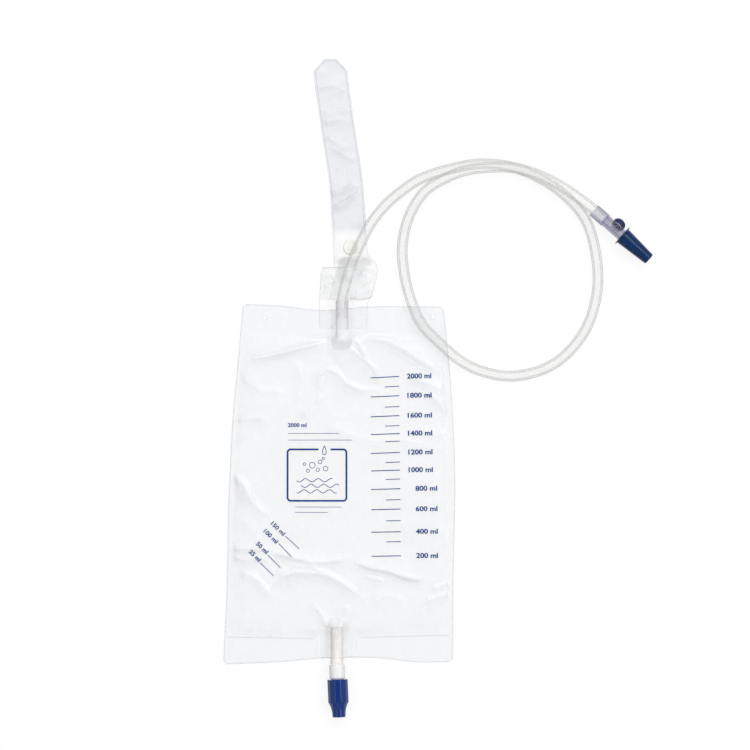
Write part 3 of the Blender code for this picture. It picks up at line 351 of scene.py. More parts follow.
def follow(stations, share):
    """The smooth curve through (share, value) stations, read at an array of shares."""
    shares, values = np.array(stations, float).T
    slopes = np.gradient(values, shares)
    share = np.clip(share, shares[0], shares[-1])
    cell = np.clip(np.searchsorted(shares, share, side="right") - 1, 0, len(shares) - 2)
    width = shares[cell + 1] - shares[cell]
    t = (share - shares[cell]) / width
    start = values[cell] * (1 + 2 * t) * (1 - t) ** 2 + slopes[cell] * width * t * (1 - t) ** 2
    return start + values[cell + 1] * t * t * (3 - 2 * t) + slopes[cell + 1] * width * t * t * (t - 1)


def ramp(distance, length):
    """Rises smoothly from 0 to 1 over a length."""
    t = np.clip(distance / length, 0.0, 1.0)
    return t * t * (3 - 2 * t)


def beside(line, x, y):
    """How far points lie from a line, more than 0 on its left, and their share of the way along it."""
    line = np.array(line, float)
    runs = np.hypot(*np.diff(line, axis=0).T)
    starts = np.concatenate([[0.0], np.cumsum(runs)])
    nearest = np.full(np.shape(x), np.inf)
    side = np.zeros(np.shape(x))
    along = np.zeros(np.shape(x))
    for (x0, y0), (x1, y1), run, start in zip(line, line[1:], runs, starts):
        dx, dy = x1 - x0, y1 - y0
        t = np.clip(((x - x0) * dx + (y - y0) * dy) / run ** 2, 0.0, 1.0)
        away = np.hypot(x - x0 - t * dx, y - y0 - t * dy)
        closer = away < nearest
        nearest = np.where(closer, away, nearest)
        side = np.where(closer, np.sign(dx * (y - y0) - dy * (x - x0)), side)
        along = np.where(closer, (start + t * run) / starts[-1], along)
    return nearest * side, along


def creased(creases, x, y):
    """The height that creases add: each has a sharp crest, a slope on each side, and ends that fade."""
    height = np.zeros(np.shape(x))
    for line, rise, left, right in creases:
        away, along = beside(np.array(line) * MM, x, y)
        fall = np.where(away > 0, left, right) * MM
        crest = (np.hypot(away, CREST_ROUND) - CREST_ROUND) / fall
        ends = ramp(along, CREASE_FADE) * ramp(1 - along, CREASE_FADE)
        height += rise * MM * np.exp(-crest) * (CREASE_END + (1 - CREASE_END) * ends)
    return height


def ripple(x, y, seed, wave, count=9):
    """Slow uneven swells, from -1 to 1, with waves about as long as stated."""
    draw = random.Random(seed)
    total = np.zeros(np.shape(x))
    for _ in range(count):
        heading = draw.uniform(0, 2 * math.pi)
        number = 2 * math.pi / (wave * draw.uniform(0.6, 1.8))
        total += np.sin(number * (x * math.cos(heading) + y * math.sin(heading)) + draw.uniform(0, 6.28))
    return total / math.sqrt(count) / 1.6


def draped(offset, centre_height, radius, reach, floor):
    """The height of a film over a round bar: it follows the bar, then runs straight down to the floor."""
    fall = centre_height - floor
    leave = np.arccos(radius / np.hypot(reach, fall)) - np.arctan2(fall, reach)
    touch = radius * np.cos(leave)
    offset = np.abs(offset)
    top = centre_height + radius * np.sin(leave)
    slope = top + (floor - top) * np.clip((offset - touch) / (reach - touch), 0, 1)
    return np.where(offset <= touch, centre_height + np.sqrt(np.maximum(radius ** 2 - offset ** 2, 0)), slope)


def crumple(x, y, seed, wave, count=4):
    """A crumpled surface between 0 and 1: flat facets that meet in crisp, slightly curved ridges."""
    draw = random.Random(seed)
    total = np.zeros(np.shape(x))
    for _ in range(count):
        heading = draw.uniform(0, math.pi)
        number = math.pi / (wave * draw.uniform(0.7, 1.5))
        bend = 0.9 * ripple(x, y, draw.randrange(10000), wave * 1.8)
        strength = np.clip(0.5 + 0.8 * ripple(x, y, draw.randrange(10000), wave * 1.5), 0, 1)
        phase = number * (x * math.cos(heading) + y * math.sin(heading)) + bend + draw.uniform(0, 6.28)
        total += strength * (1 - np.hypot(np.sin(phase), 0.12))
    return total / count


def left_side(y):
    return -BAG_WIDTH / 2 + follow(LEFT_EDGE, y / BAG_HEIGHT + 0.5)


def right_side(y):
    return BAG_WIDTH / 2 - follow(RIGHT_EDGE, y / BAG_HEIGHT + 0.5)


def top_side(share):
    return BAG_HEIGHT / 2 - follow(TOP_EDGE, share)


def bottom_side(share):
    return -BAG_HEIGHT / 2 + follow(BOTTOM_EDGE, share)


def rounded_corner(across, up, size):
    """Distances in from two edges, drawn in so that their corner is an arc."""
    a = np.clip(size - across, 0, None)
    b = np.clip(size - up, 0, None)
    square = np.maximum(a, b) / np.maximum(np.hypot(a, b), 1e-9)
    inside = (a > 0) & (b > 0)
    return np.where(inside, size - a * square, across), np.where(inside, size - b * square, up)


def bag_place(u, v):
    """Grid shares to places on the bag, with round corners and the columns closest together at the ports."""
    share = u + COLUMN_SHIFT * np.sin(2 * math.pi * u)
    low, high = bottom_side(share), top_side(share)
    y = low + (high - low) * v
    left, right = left_side(y), right_side(y)
    x = left + (right - left) * share
    for side, across in ((left, 1), (right, -1)):
        for end, up in ((low, 1), (high, -1)):
            from_side, from_end = (x - side) * across, (y - end) * up
            new_side, new_end = rounded_corner(from_side, from_end, CORNER_ROUND)
            x, y = x + (new_side - from_side) * across, y + (new_end - from_end) * up
    return x, y


def bag_share(x, y):
    """How far across the bag a place is, from 0 at its left edge to 1 at its right."""
    return np.clip((x - left_side(y)) / (right_side(y) - left_side(y)), 0, 1)


def weld_line(x):
    return np.interp(x, *zip(*WELD_LINE))


def inside_welds(x, y, side_rise, end_rise):
    """0 on the welds and 1 in the pouch, past a rise from its sides and one from its ends."""
    side = np.minimum(x - left_side(y), right_side(y) - x) - SIDE_WELD
    upper = top_side(bag_share(x, y)) - TOP_WELD - y
    lower = y - weld_line(x)
    return ramp(side, side_rise) * ramp(upper, end_rise) * ramp(lower, end_rise)


def drain_axis_height(y):
    """The drain tube's axis, which bends up from the pouch to the valve."""
    start, end = DRAIN_BEND
    return DRAIN_AXIS_INSIDE + (OUTLET_AXIS_HEIGHT - DRAIN_AXIS_INSIDE) * ramp(start - y, start - end)


def over_inserts(x, y):
    """Room between the films for the strap's tab and the non-return sleeve."""
    margin = 0.0100
    middle = (TAB_LEFT[0][1] + TAB_RIGHT[0][1] + LEAF_DRIFT / 2) / 2
    half = (TAB_RIGHT[0][1] - TAB_LEFT[0][1] + LEAF_DRIFT / 2) / 2 + margin / 2
    return 2 * (LEAF_THICKNESS + GAP) * ramp(half + margin - np.abs(x - middle), margin) * ramp(
        y - (LEAF_TOP - LEAF_LENGTH - 1.5 * margin), margin)


def over_port(x, y):
    """How far the inlet port lifts the front film."""
    fade = 1 - ramp(PORT_TOP - PORT_LENGTH - y, PORT_FADE)
    radius = PORT_RADIUS + LEAF_THICKNESS + 4 * GAP
    return (draped(x - PORT_X, PORT_AXIS_HEIGHT, radius, PORT_REACH, WELD_HEIGHT) - WELD_HEIGHT) * fade


def over_drain(x, y):
    """How far the drain tube lifts the front film."""
    fade = 1 - ramp(y - DRAIN_INNER_END, DRAIN_FADE)
    radius = DRAIN_RADIUS + 2 * GAP
    return (draped(x - OUTLET_X, drain_axis_height(y), radius, DRAIN_REACH, WELD_HEIGHT) - WELD_HEIGHT) * fade


def clear_of_tube(x, y):
    """1 away from the inlet tube, 0 where it lies on the bag and presses the films flat."""
    away, _ = beside([point[:2] for point in ROUTE[TUBE_ON_BAG]], x, y)
    return 1 - np.exp(-(away / TUBE_TROUGH) ** 4)


def slack_height(x, y):
    """How far the front film stands up by itself: a low pillow with creases and crumples."""
    sizes = bpy.context.scene.bag_sizes
    pillow = sizes.puff * inside_welds(x, y, PUFF_RISE, PUFF_RISE) * (
        PILLOW_LEVEL + PILLOW_SWELL * ripple(x, y, *PILLOW_WAVES))
    folds = creased(CREASES, x, y) + sizes.crumple * crumple(x, y, *BROAD_CRUMPLE)
    folds += FINE_CRUMPLE_HEIGHT * crumple(x, y, *FINE_CRUMPLE)
    return np.maximum(pillow, 0) + folds * inside_welds(x, y, CREASE_SIDE_RISE, CREASE_END_RISE)


def front_height(x, y):
    """The front film's lower face, with its creases."""
    free = clear_of_tube(x, y)
    slack = slack_height(x, y)
    band = creased(BAND_CREASES, x, y) + BAND_CRUMPLE_HEIGHT * crumple(x, y, *BAND_CRUMPLE)
    inserts = np.maximum(np.maximum(over_inserts(x, y), over_port(x, y)), over_drain(x, y))
    mixed = np.hypot(slack, inserts) * INSERT_BLEND + np.maximum(slack, inserts) * (1 - INSERT_BLEND)
    return WELD_HEIGHT + np.maximum(mixed * np.clip(free + inserts / MM, 0, 1), inserts) + band * free


def slope_of(height, x, y, step=0.0012):
    """How steep a surface is, as rise over run: the steeper of its two sides, so that crests count too."""
    here = height(x, y)
    across = np.maximum(np.abs(height(x + step, y) - here), np.abs(height(x - step, y) - here))
    up = np.maximum(np.abs(height(x, y + step) - here), np.abs(height(x, y - step) - here))
    return np.hypot(across, up) / step


# Meshes


def in_metres(points):
    """Plan points from a table in millimetres."""
    return [(x * MM, y * MM) for x, y in points]


def add_piece(name, mesh, material, body="bag"):
    """One visible piece: its mesh, its finish, and the body that it belongs to."""
    piece = bpy.data.objects.new(name, mesh)
    bpy.context.scene.collection.objects.link(piece)
    mesh.materials.append(material)
    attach(piece, body)
    return piece


def finish_mesh(shape, name, angle=35.0, normals=True):
    """A bmesh made into a smooth-shaded mesh, with edges past an angle in degrees marked sharp."""
    if normals:
        bmesh.ops.recalc_face_normals(shape, faces=shape.faces)
    mesh = bpy.data.meshes.new(name)
    shape.to_mesh(mesh)
    shape.free()
    mesh.shade_smooth()
    mesh.set_sharp_from_angle(angle=math.radians(angle))
    return mesh


def vertex_places(mesh):
    places = np.empty(len(mesh.vertices) * 3, np.float32)
    mesh.vertices.foreach_get("co", places)
    return places.reshape(-1, 3).astype(float)


def set_places(mesh, x, y, z):
    mesh.vertices.foreach_set("co", np.stack([x, y, z], axis=1).astype(np.float32).ravel())
    mesh.update()


def laid_sheet(name, columns, rows, place, height, marks=None):
    """A fine sheet: a grid whose shares are placed in plan, then raised, with attributes for its shader."""
    shape = bmesh.new()
    bmesh.ops.create_grid(shape, x_segments=columns, y_segments=rows, size=0.5)
    mesh = finish_mesh(shape, name, NO_SHARP_EDGE, normals=False)
    places = vertex_places(mesh)
    x, y = place(places[:, 0] + 0.5, places[:, 1] + 0.5)
    set_places(mesh, x, y, height(x, y))
    for title, values in (marks(x, y) if marks else {}).items():
        layer = mesh.attributes.new(title, "FLOAT", "POINT")
        layer.data.foreach_set("value", np.asarray(values, np.float32))
    return mesh


def lying_on(name, above=0.00022):
    """A height function that reads a finished sheet's own faces, for what is printed or stamped on it."""
    shape = bmesh.new()
    shape.from_mesh(bpy.data.objects[name].data)
    faces = BVHTree.FromBMesh(shape)
    shape.free()

    def height(x, y):
        levels = []
        for across, up in zip(x, y):
            place, *_ = faces.ray_cast(Vector((across, up, 0.1)), Vector((0.0, 0.0, -1.0)))
            levels.append((place.z if place else WELD_HEIGHT) + above)
        return np.array(levels)

    return height


def open_hole(mesh, centre, radius):
    """Takes out the faces inside a round hole and draws its rim to a circle."""
    shape = bmesh.new()
    shape.from_mesh(mesh)
    middle = Vector(centre)
    inside = [face for face in shape.faces if (face.calc_center_median().to_2d() - middle).length < radius]
    rim = {vertex for face in inside for vertex in face.verts}
    bmesh.ops.delete(shape, geom=inside, context="FACES")
    for vertex in rim:
        if vertex.is_valid:
            out = vertex.co.to_2d() - middle
            if out.length > TOUCHING:
                vertex.co.x, vertex.co.y = middle + out.normalized() * radius
    shape.to_mesh(mesh)
    shape.free()


def eased(profile, size, steps=3):
    """A closed profile with each clear corner replaced by a small arc."""
    points = [Vector(point) for point in profile]
    ring = []
    for index, corner in enumerate(points):
        back, ahead = points[index - 1] - corner, points[(index + 1) % len(points)] - corner
        on_axis = corner.x < AXIS_REACH
        if on_axis or min(back.length, ahead.length) < TOUCHING or back.angle(ahead) > NEARLY_STRAIGHT:
            ring.append(corner)
            continue
        cut = min(size, back.length * 0.4, ahead.length * 0.4)
        start, end = corner + back.normalized() * cut, corner + ahead.normalized() * cut
        for step in range(steps + 1):
            t = step / steps
            ring.append(start * (1 - t) ** 2 + corner * 2 * t * (1 - t) + end * t * t)
    return ring


def axis_frame(origin, right, along):
    """A matrix whose Z runs along an axis and whose X points right."""
    along = Vector(along).normalized()
    right = Vector(right).normalized()
    turn = Matrix((right, along.cross(right), along)).transposed().to_4x4()
    return Matrix.Translation(Vector(origin)) @ turn


def turned(name, profile, where, steps=64, ease=0.0002, flats=None):
    """A closed profile of (radius, distance along) spun about an axis. Flats cut its outside to a prism."""
    shape = bmesh.new()
    ring = [shape.verts.new((point.x, 0.0, point.y)) for point in eased(profile, ease)]
    edges = []
    for first, second in zip(ring, ring[1:] + ring[:1]):
        if first.co.x > AXIS_REACH or second.co.x > AXIS_REACH:
            edges.append(shape.edges.new((first, second)))
    bmesh.ops.spin(shape, geom=ring + edges, axis=(0, 0, 1), cent=(0, 0, 0), angle=2 * math.pi, steps=steps,
                   use_merge=True)
    bmesh.ops.remove_doubles(shape, verts=shape.verts, dist=AXIS_REACH)
    if flats:
        sides, apothem = flats
        part = 2 * math.pi / sides
        for vertex in shape.verts:
            radius = math.hypot(vertex.co.x, vertex.co.y)
            angle = math.atan2(vertex.co.y, vertex.co.x)
            turn = (angle + part / 2) % part - part / 2
            limit = min(apothem / math.cos(turn), apothem / math.cos(part / 2) - PRISM_EDGE_WEAR)
            if radius > limit:
                vertex.co.x *= limit / radius
                vertex.co.y *= limit / radius
    bmesh.ops.transform(shape, matrix=where, verts=shape.verts)
    return finish_mesh(shape, name, TURNED_SHARP)


def smooth_points(points, count):
    """Evenly spaced points along the smooth curve through the given ones."""
    knots = [Vector(point) for point in points]
    knots = [2 * knots[0] - knots[1]] + knots + [2 * knots[-1] - knots[-2]]
    dense = []
    for before, start, end, after in zip(knots, knots[1:], knots[2:], knots[3:]):
        lead, span, tail = (max((b - a).length, 1e-6) ** 0.5 for a, b in
                            ((before, start), (start, end), (end, after)))
        first = span * ((start - before) / lead - (end - before) / (lead + span) + (end - start) / span)
        last = span * ((end - start) / span - (after - start) / (span + tail) + (after - end) / tail)
        for step in range(120):
            t = step / 120
            dense.append(start * (1 + 2 * t) * (1 - t) ** 2 + first * t * (1 - t) ** 2
                         + end * t * t * (3 - 2 * t) + last * t * t * (t - 1))
    dense.append(knots[-2])
    run = np.cumsum([0.0] + [(b - a).length for a, b in zip(dense, dense[1:])])
    even = np.linspace(0.0, run[-1], count)
    return [Vector(place) for place in zip(*(np.interp(even, run, axis) for axis in np.array(dense).T))]


def smooth_plan(points, count):
    """The smooth curve through plan points that are given in millimetres."""
    return [point.to_2d() for point in smooth_points([(x, y, 0.0) for x, y in in_metres(points)], count)]


def closed_skin(name, centres, sides, ups, radii, steps, angle):
    """A sheet of squares rolled around a closed row of rings, each with its own radius."""
    shape = bmesh.new()
    bmesh.ops.create_grid(shape, x_segments=steps, y_segments=len(centres), size=0.5)
    rings = np.arange(len(centres) + 1) % len(centres)
    turns = 2 * math.pi * (np.arange(steps + 1) % steps)[:, None] / steps
    out = np.cos(turns) * sides[rings][:, None] + np.sin(turns) * ups[rings][:, None]
    places = centres[rings][:, None] + out * radii[rings][:, None, None]
    for vertex, place in zip(shape.verts, places.reshape(-1, 3)):
        vertex.co = place
    bmesh.ops.remove_doubles(shape, verts=shape.verts, dist=AXIS_REACH)
    return finish_mesh(shape, name, angle)


def hollow_tube(name, line, radius, bore, steps=32):
    """A tube with a bore: its skin runs out along the outer wall and back along the bore."""
    up = Vector((0.0, 0.0, 1.0))
    sides, ups = [], []
    for before, after in zip([line[0]] + line[:-1], line[1:] + [line[-1]]):
        tangent = (after - before).normalized()
        up = (up - tangent * up.dot(tangent)).normalized()
        sides.append(tangent.cross(up))
        ups.append(up)
    centres, sides, ups = (np.concatenate([rows, rows[::-1]]) for rows in map(np.array, (line, sides, ups)))
    return closed_skin(name, centres, sides, ups, np.repeat((radius, bore), len(line)), steps, TUBE_SHARP)


def bead(name, x, y, level, radius):
    """A fine bead along a closed outline."""
    line = np.stack([x, y, np.full(len(x), level)], axis=1)
    runs = np.roll(line, -1, axis=0) - np.roll(line, 1, axis=0)
    sides = np.stack([-runs[:, 1], runs[:, 0], runs[:, 2]], axis=1)
    sides /= np.linalg.norm(sides, axis=1, keepdims=True)
    ups = np.tile((0.0, 0.0, 1.0), (len(line), 1))
    return closed_skin(name, line, sides, ups, np.full(len(line), radius), BEAD_SIDES, BEAD_SHARP)


def draped_stroke(shape, points, width, height, step=0.0010):
    """A flat line along plan points, laid on a surface as a strip of squares."""
    line = []
    for start, end in zip(points, points[1:]):
        start, end = Vector(start), Vector(end)
        count = max(1, math.ceil((end - start).length / step))
        line += [start.lerp(end, index / count) for index in range(count)]
    line.append(Vector(points[-1]))
    rails = []
    for before, point, after in zip(line[:1] + line, line, line[1:] + line[-1:]):
        run = (after - before).normalized()
        out = Vector((-run.y, run.x)) * width / 2
        rails += [point + out, point - out]
    levels = height([place.x for place in rails], [place.y for place in rails])
    strip = bmesh.ops.create_grid(shape, x_segments=1, y_segments=len(line) - 1, size=0.5)["verts"]
    for vertex, place, level in zip(strip, rails, levels):
        vertex.co = (*place, level)


def add_lines(name, lines, width, level, finish):
    """A piece of flat lines that lie on a sheet."""
    shape = bmesh.new()
    for line in lines:
        draped_stroke(shape, line, width, level)
    return add_piece(name, finish_mesh(shape, name, NO_SHARP_EDGE), FINISHES[finish])


def add_speck(name, place, radius):
    """A dark speck that was caught in a film."""
    shape = bmesh.new()
    bmesh.ops.create_icosphere(shape, subdivisions=2, radius=radius, matrix=Matrix.Translation(place))
    return add_piece(name, finish_mesh(shape, name), FINISHES["speck"])


def lettering(shape, text, place, tall, wide, turn, height):
    """Printed figures: their middle left at a place, with a stated cap height and width."""
    curve = bpy.data.curves.new("figures", "FONT")
    curve.body = text
    # The real typeface is bolder
    curve.offset = 0.03
    curve.resolution_u = 3
    holder = bpy.data.objects.new("figures", curve)
    bpy.context.scene.collection.objects.link(holder)
    graph = bpy.context.evaluated_depsgraph_get()
    mesh = bpy.data.meshes.new_from_object(holder.evaluated_get(graph))
    bpy.data.objects.remove(holder, do_unlink=True)
    flat = vertex_places(mesh)[:, :2]
    flat = (flat - flat.min(axis=0)) * (wide, tall) / np.ptp(flat, axis=0) - (0.0, tall / 2)
    x = place[0] + flat[:, 0] * math.cos(turn) - flat[:, 1] * math.sin(turn)
    y = place[1] + flat[:, 0] * math.sin(turn) + flat[:, 1] * math.cos(turn)
    set_places(mesh, x, y, height(x, y))
    shape.from_mesh(mesh)
    bpy.data.meshes.remove(mesh)


# Materials


def linear(channel):
    return channel / 12.92 if channel <= 0.04045 else ((channel + 0.055) / 1.055) ** 2.4


def colour(code):
    """An sRGB hex code as linear red, green and blue."""
    return tuple(linear(int(code[i:i + 2], 16) / 255) for i in (0, 2, 4))


def add(tree, kind, inputs=None, **settings):
    """Adds one node: its settings, then its inputs, each a value or a socket to link."""
    made = tree.nodes.new(kind)
    for name, value in settings.items():
        setattr(made, name, value)
    for name, value in (inputs or {}).items():
        if isinstance(value, bpy.types.NodeSocket):
            tree.links.new(value, made.inputs[name])
        else:
            made.inputs[name].default_value = value
    return made


def plastic(name, shade, roughness, ior=1.5, gloss=0.5, cover=1.0, drift=1.0, patch=20.0, grain=None,
            swell=None, marks=(), steep=None, tint=None, edge=None):
    """A plastic whose colour drifts in patches. The sizes of its patterns are in millimetres.

    Drift is how dark the patches get, as a share of the shade.
    Grain is (size, strength) of a fine bump, and swell the same of a slow one.
    Marks are (attribute, reach, shade, cover): lines drawn where a distance attribute is under its reach.
    Steep is (slope, cover): a film's cover grows to that with its slope, as a tilted film is denser.
    Tint is (shade, density): how a clear moulding darkens with its depth, so that thick walls look deeper.
    Edge is (shade, cover, start): what a wall turns to where it is seen edge on, from a start of 0 to 1.
    """
    finish = bpy.data.materials.new(name)
    finish.use_nodes = True
    tree = finish.node_tree
    shader = tree.nodes["Principled BSDF"]
    shader.inputs["IOR"].default_value = ior
    shader.inputs["Specular IOR Level"].default_value = gloss
    place = add(tree, "ShaderNodeTexCoord").outputs["Object"]
    patches = add(tree, "ShaderNodeTexNoise", {"Vector": place, "Scale": 1 / (patch * MM), "Detail": 3.0,
                                               "Distortion": 0.6}).outputs["Fac"]
    amount = add(tree, "ShaderNodeMapRange", {"Value": patches, "From Min": 0.22, "From Max": 0.78})
    dark = [channel * drift for channel in shade]
    result = add(tree, "ShaderNodeMix", {"Factor": amount.outputs["Result"], "A": (*shade, 1.0),
                                         "B": (*dark, 1.0)}, data_type="RGBA").outputs["Result"]
    rough = add(tree, "ShaderNodeMapRange", {"Value": patches, "From Min": 0.2, "From Max": 0.8,
                                             "To Min": roughness * 0.85, "To Max": roughness * 1.15})
    tree.links.new(rough.outputs["Result"], shader.inputs["Roughness"])
    opacity = cover
    masks = []
    for title, reach, line_shade, line_cover in marks:
        distance = add(tree, "ShaderNodeAttribute", attribute_name=title)
        mask = add(tree, "ShaderNodeMapRange", {"Value": distance.outputs["Fac"],
                                                "From Min": reach * MM * 0.4, "From Max": reach * MM,
                                                "To Min": 1.0, "To Max": 0.0})
        masks.append((mask.outputs["Result"], line_shade, line_cover))
    if edge:
        facing = add(tree, "ShaderNodeLayerWeight", {"Blend": 0.5}).outputs["Facing"]
        mask = add(tree, "ShaderNodeMapRange", {"Value": facing, "From Min": edge[2], "From Max": 1.0})
        masks.append((mask.outputs["Result"], *edge[:2]))
    for mask, line_shade, line_cover in masks:
        result = add(tree, "ShaderNodeMix", {"Factor": mask, "A": result, "B": (*colour(line_shade), 1.0)},
                     data_type="RGBA").outputs["Result"]
        opacity = add(tree, "ShaderNodeMix", {"Factor": mask, "A": opacity, "B": line_cover}).outputs["Result"]
    if steep:
        slope = add(tree, "ShaderNodeAttribute", attribute_name="slope")
        more = add(tree, "ShaderNodeMapRange", {"Value": slope.outputs["Fac"], "From Min": 0.0,
                                                "From Max": steep[0], "To Min": 0.0,
                                                "To Max": steep[1] - cover}, interpolation_type="SMOOTHSTEP")
        opacity = add(tree, "ShaderNodeMath", {0: opacity, 1: more.outputs["Result"]}, operation="ADD",
                      use_clamp=True).outputs[0]
    tree.links.new(result, shader.inputs["Base Color"])
    if isinstance(opacity, bpy.types.NodeSocket):
        tree.links.new(opacity, shader.inputs["Alpha"])
    else:
        shader.inputs["Alpha"].default_value = opacity
    bump = {}
    for pattern, share, settings in ((grain, 0.5, {}), (swell, 0.15, {"Distortion": 1.2})):
        if pattern:
            size, strength = pattern[0] * MM, pattern[1]
            noise = add(tree, "ShaderNodeTexNoise", {"Vector": place, "Scale": 1 / size, "Detail": 2.0,
                                                     **settings})
            raised = add(tree, "ShaderNodeBump", {"Height": noise.outputs["Fac"], "Strength": strength,
                                                  "Distance": size * share, **bump})
            bump = {"Normal": raised.outputs["Normal"]}
    if bump:
        tree.links.new(bump["Normal"], shader.inputs["Normal"])
    if tint:
        depths = add(tree, "ShaderNodeVolumeAbsorption", {"Color": (*colour(tint[0]), 1.0),
                                                          "Density": tint[1]})
        tree.links.new(depths.outputs["Volume"], tree.nodes["Material Output"].inputs["Volume"])
    return finish


# Grain of moulded plastic, in millimetres: finer on the real one, and drawn coarser so that it shows
MOULDED = 0.6


def make_materials(colours):
    """Every finish of the bag, named for what the real one is made of."""
    return {
        # Calendered soft PVC film: clear but milky, denser where it tilts, with slow swells where films cling
        "film": plastic("clear_calendered_pvc_film", colours.film, 0.24, 1.53, gloss=0.35, cover=0.28,
                        drift=0.93, patch=30.0, swell=(20.0, 0.05), steep=(0.7, 0.85),
                        marks=(("rim", 1.1, "D8DEE7", 0.36),)),
        # The same film below it: little of it shows, as a faint blue over the table
        "back": plastic("back_pvc_film", colours.back_film, 0.30, 1.53, gloss=0.3, cover=0.10, drift=0.95,
                        patch=50.0),
        # Welded rim: both films fused, so it is thicker and a little greyer. The same finish draws the painted
        # shade along the strap's sharpest fold
        "rim": plastic("fused_film_rim_and_fold_shade", colour("CBD1DB"), 0.25, 1.53, cover=0.16, grain=(MOULDED, 0.05)),
        # The step where a weld ends, drawn twice as wide as the real one so that it shows. The same finish
        # draws the lines of painted shade along the neck cover's dark folds
        "seam_and_fold_shade": plastic("weld_step_and_fold_shade_line", colour("B9BEC7"), 0.25, 1.53, cover=0.42),
        # The weld along the strap's edge, where its two plies are fused: a thin grey line
        "border": plastic("strap_weld_line", colour("B4B8C6"), 0.25, 1.53, cover=0.26),
        # Two-ply embossed film: whiter and less clear than the bag, crisp at its folds, single ply at its tab,
        # with a grey band of painted shade along its folded foot
        "strap": plastic("frosted_two_ply_pvc_film_and_fold_shade", colours.strap, 0.22, 1.53, gloss=0.45, cover=0.50,
                         drift=0.907, patch=12.0, swell=(12.0, 0.08), steep=(0.32, 0.92),
                         marks=(("ply", 11.0, "FBFBFC", 0.14), ("fold", 6.5, "E2E3E5", 0.42),
                                ("rim", 0.6, "CDD0D7", 0.7))),
        # Single-ply film of the neck cover: clear and a little hazy
        "cover": plastic("hazy_cover_film", colours.cover, 0.20, 1.53, gloss=0.4, cover=0.27, drift=0.94,
                         patch=10.0, swell=(12.0, 0.04), steep=(0.6, 0.8),
                         marks=(("rim", 0.4, "D8DBE0", 0.30),)),
        # Fused film in the weld marks: clearer and whiter than the film around it. The same finish draws the
        # painted highlights along the neck cover's light folds
        "weld": plastic("embossed_weld_and_fold_highlight_line", colour("FFFFFF"), 0.15, 1.53, cover=0.45),
        # Thin film of the non-return sleeve: only its two long edges show
        "leaf": plastic("thin_valve_film", colour("F4F6F8"), 0.2, cover=0.05,
                        marks=(("rim", 1.0, "A4A9B1", 0.20),)),
        # Tinted transparent PVC mouldings: a thin wall is pale, a thick one or one seen edge on is deeper
        "violet": plastic("violet_tinted_clear_pvc", colours.port, 0.08, cover=0.06, tint=("E2DFEE", 30.0),
                          edge=("8378B4", 0.72, 0.40)),
        "connector": plastic("violet_tinted_rigid_pvc", colours.connector, 0.06, cover=0.06,
                             tint=("D9DAE4", 420.0), edge=("83879F", 0.80, 0.42)),
        # Pale rings of painted highlight at the sampling port's steps, drawn as opaque light-coloured wires
        "port_highlight_ring": plastic("painted_port_highlight_ring", colour("C9CEE4"), 0.20),
        # Extruded clear PVC tube: smooth, a little milky, greyer where its wall is seen edge on
        "tube": plastic("extruded_clear_pvc_tube", colours.tube, 0.12, cover=0.09,
                        edge=("B3B3AE", 0.68, 0.14)),
        # Soft filled PVC of the drain tube: opaque, cream and satin
        "cream": plastic("cream_soft_pvc_tube", colours.drain_tube, 0.24, 1.45, gloss=0.35, drift=0.95),
        # Moulded polypropylene of the collar and the button: white or ivory, with a faint moulded grain
        "collar": plastic("white_polypropylene", colours.collar, 0.22, 1.49, drift=0.964,
                          grain=(MOULDED, 0.02)),
        "button": plastic("ivory_polypropylene", colours.button, 0.35, 1.49, drift=0.957,
                          grain=(MOULDED, 0.03)),
        # Polished moulding of the sleeve: a clean mid blue with sharp highlights
        "valve_blue": plastic("mid_blue_polypropylene", colours.sleeve, 0.12, 1.49, drift=0.823),
        # Soft polyethylene of the cap: a darker blue with a soft sheen
        "cap_blue": plastic("dark_blue_polyethylene", colours.cap, 0.22, gloss=0.28, drift=0.854),
        # Soft rubber of the septum: matt navy
        "septum": plastic("navy_latex_free_rubber", colours.septum, 0.4, gloss=0.2, drift=0.8),
        # Black-filled rubber of the seal, dusted grey and matt
        "rubber": plastic("grey_seal_rubber", colour("55585C"), 0.55, grain=(MOULDED, 0.03)),
        # Pad-printed ink: a flat blue, with a fine uneven face
        "ink": plastic("blue_pad_printing_ink", colours.ink, 0.5, gloss=0.15, drift=0.851, patch=4.0,
                       grain=(0.3, 0.05)),
        # A dark speck caught in the film: grey and matt
        "speck": plastic("grey_moulding_speck", colour("6E7178"), 0.5, grain=(MOULDED, 0.05)),
    }


FINISHES = {}


# Sizes and colours


def size_setting(title, description, default, most):
    """A size in metres that a user may change."""
    return bpy.props.FloatProperty(name=title, description=description, default=default, min=0.0, max=most,
                                   precision=5, unit="LENGTH")


def colour_setting(title, description, code):
    """A colour that a user may change, from its sRGB hex code."""
    return bpy.props.FloatVectorProperty(name=title, description=description, default=colour(code), size=3,
                                         min=0.0, max=1.0, subtype="COLOR")


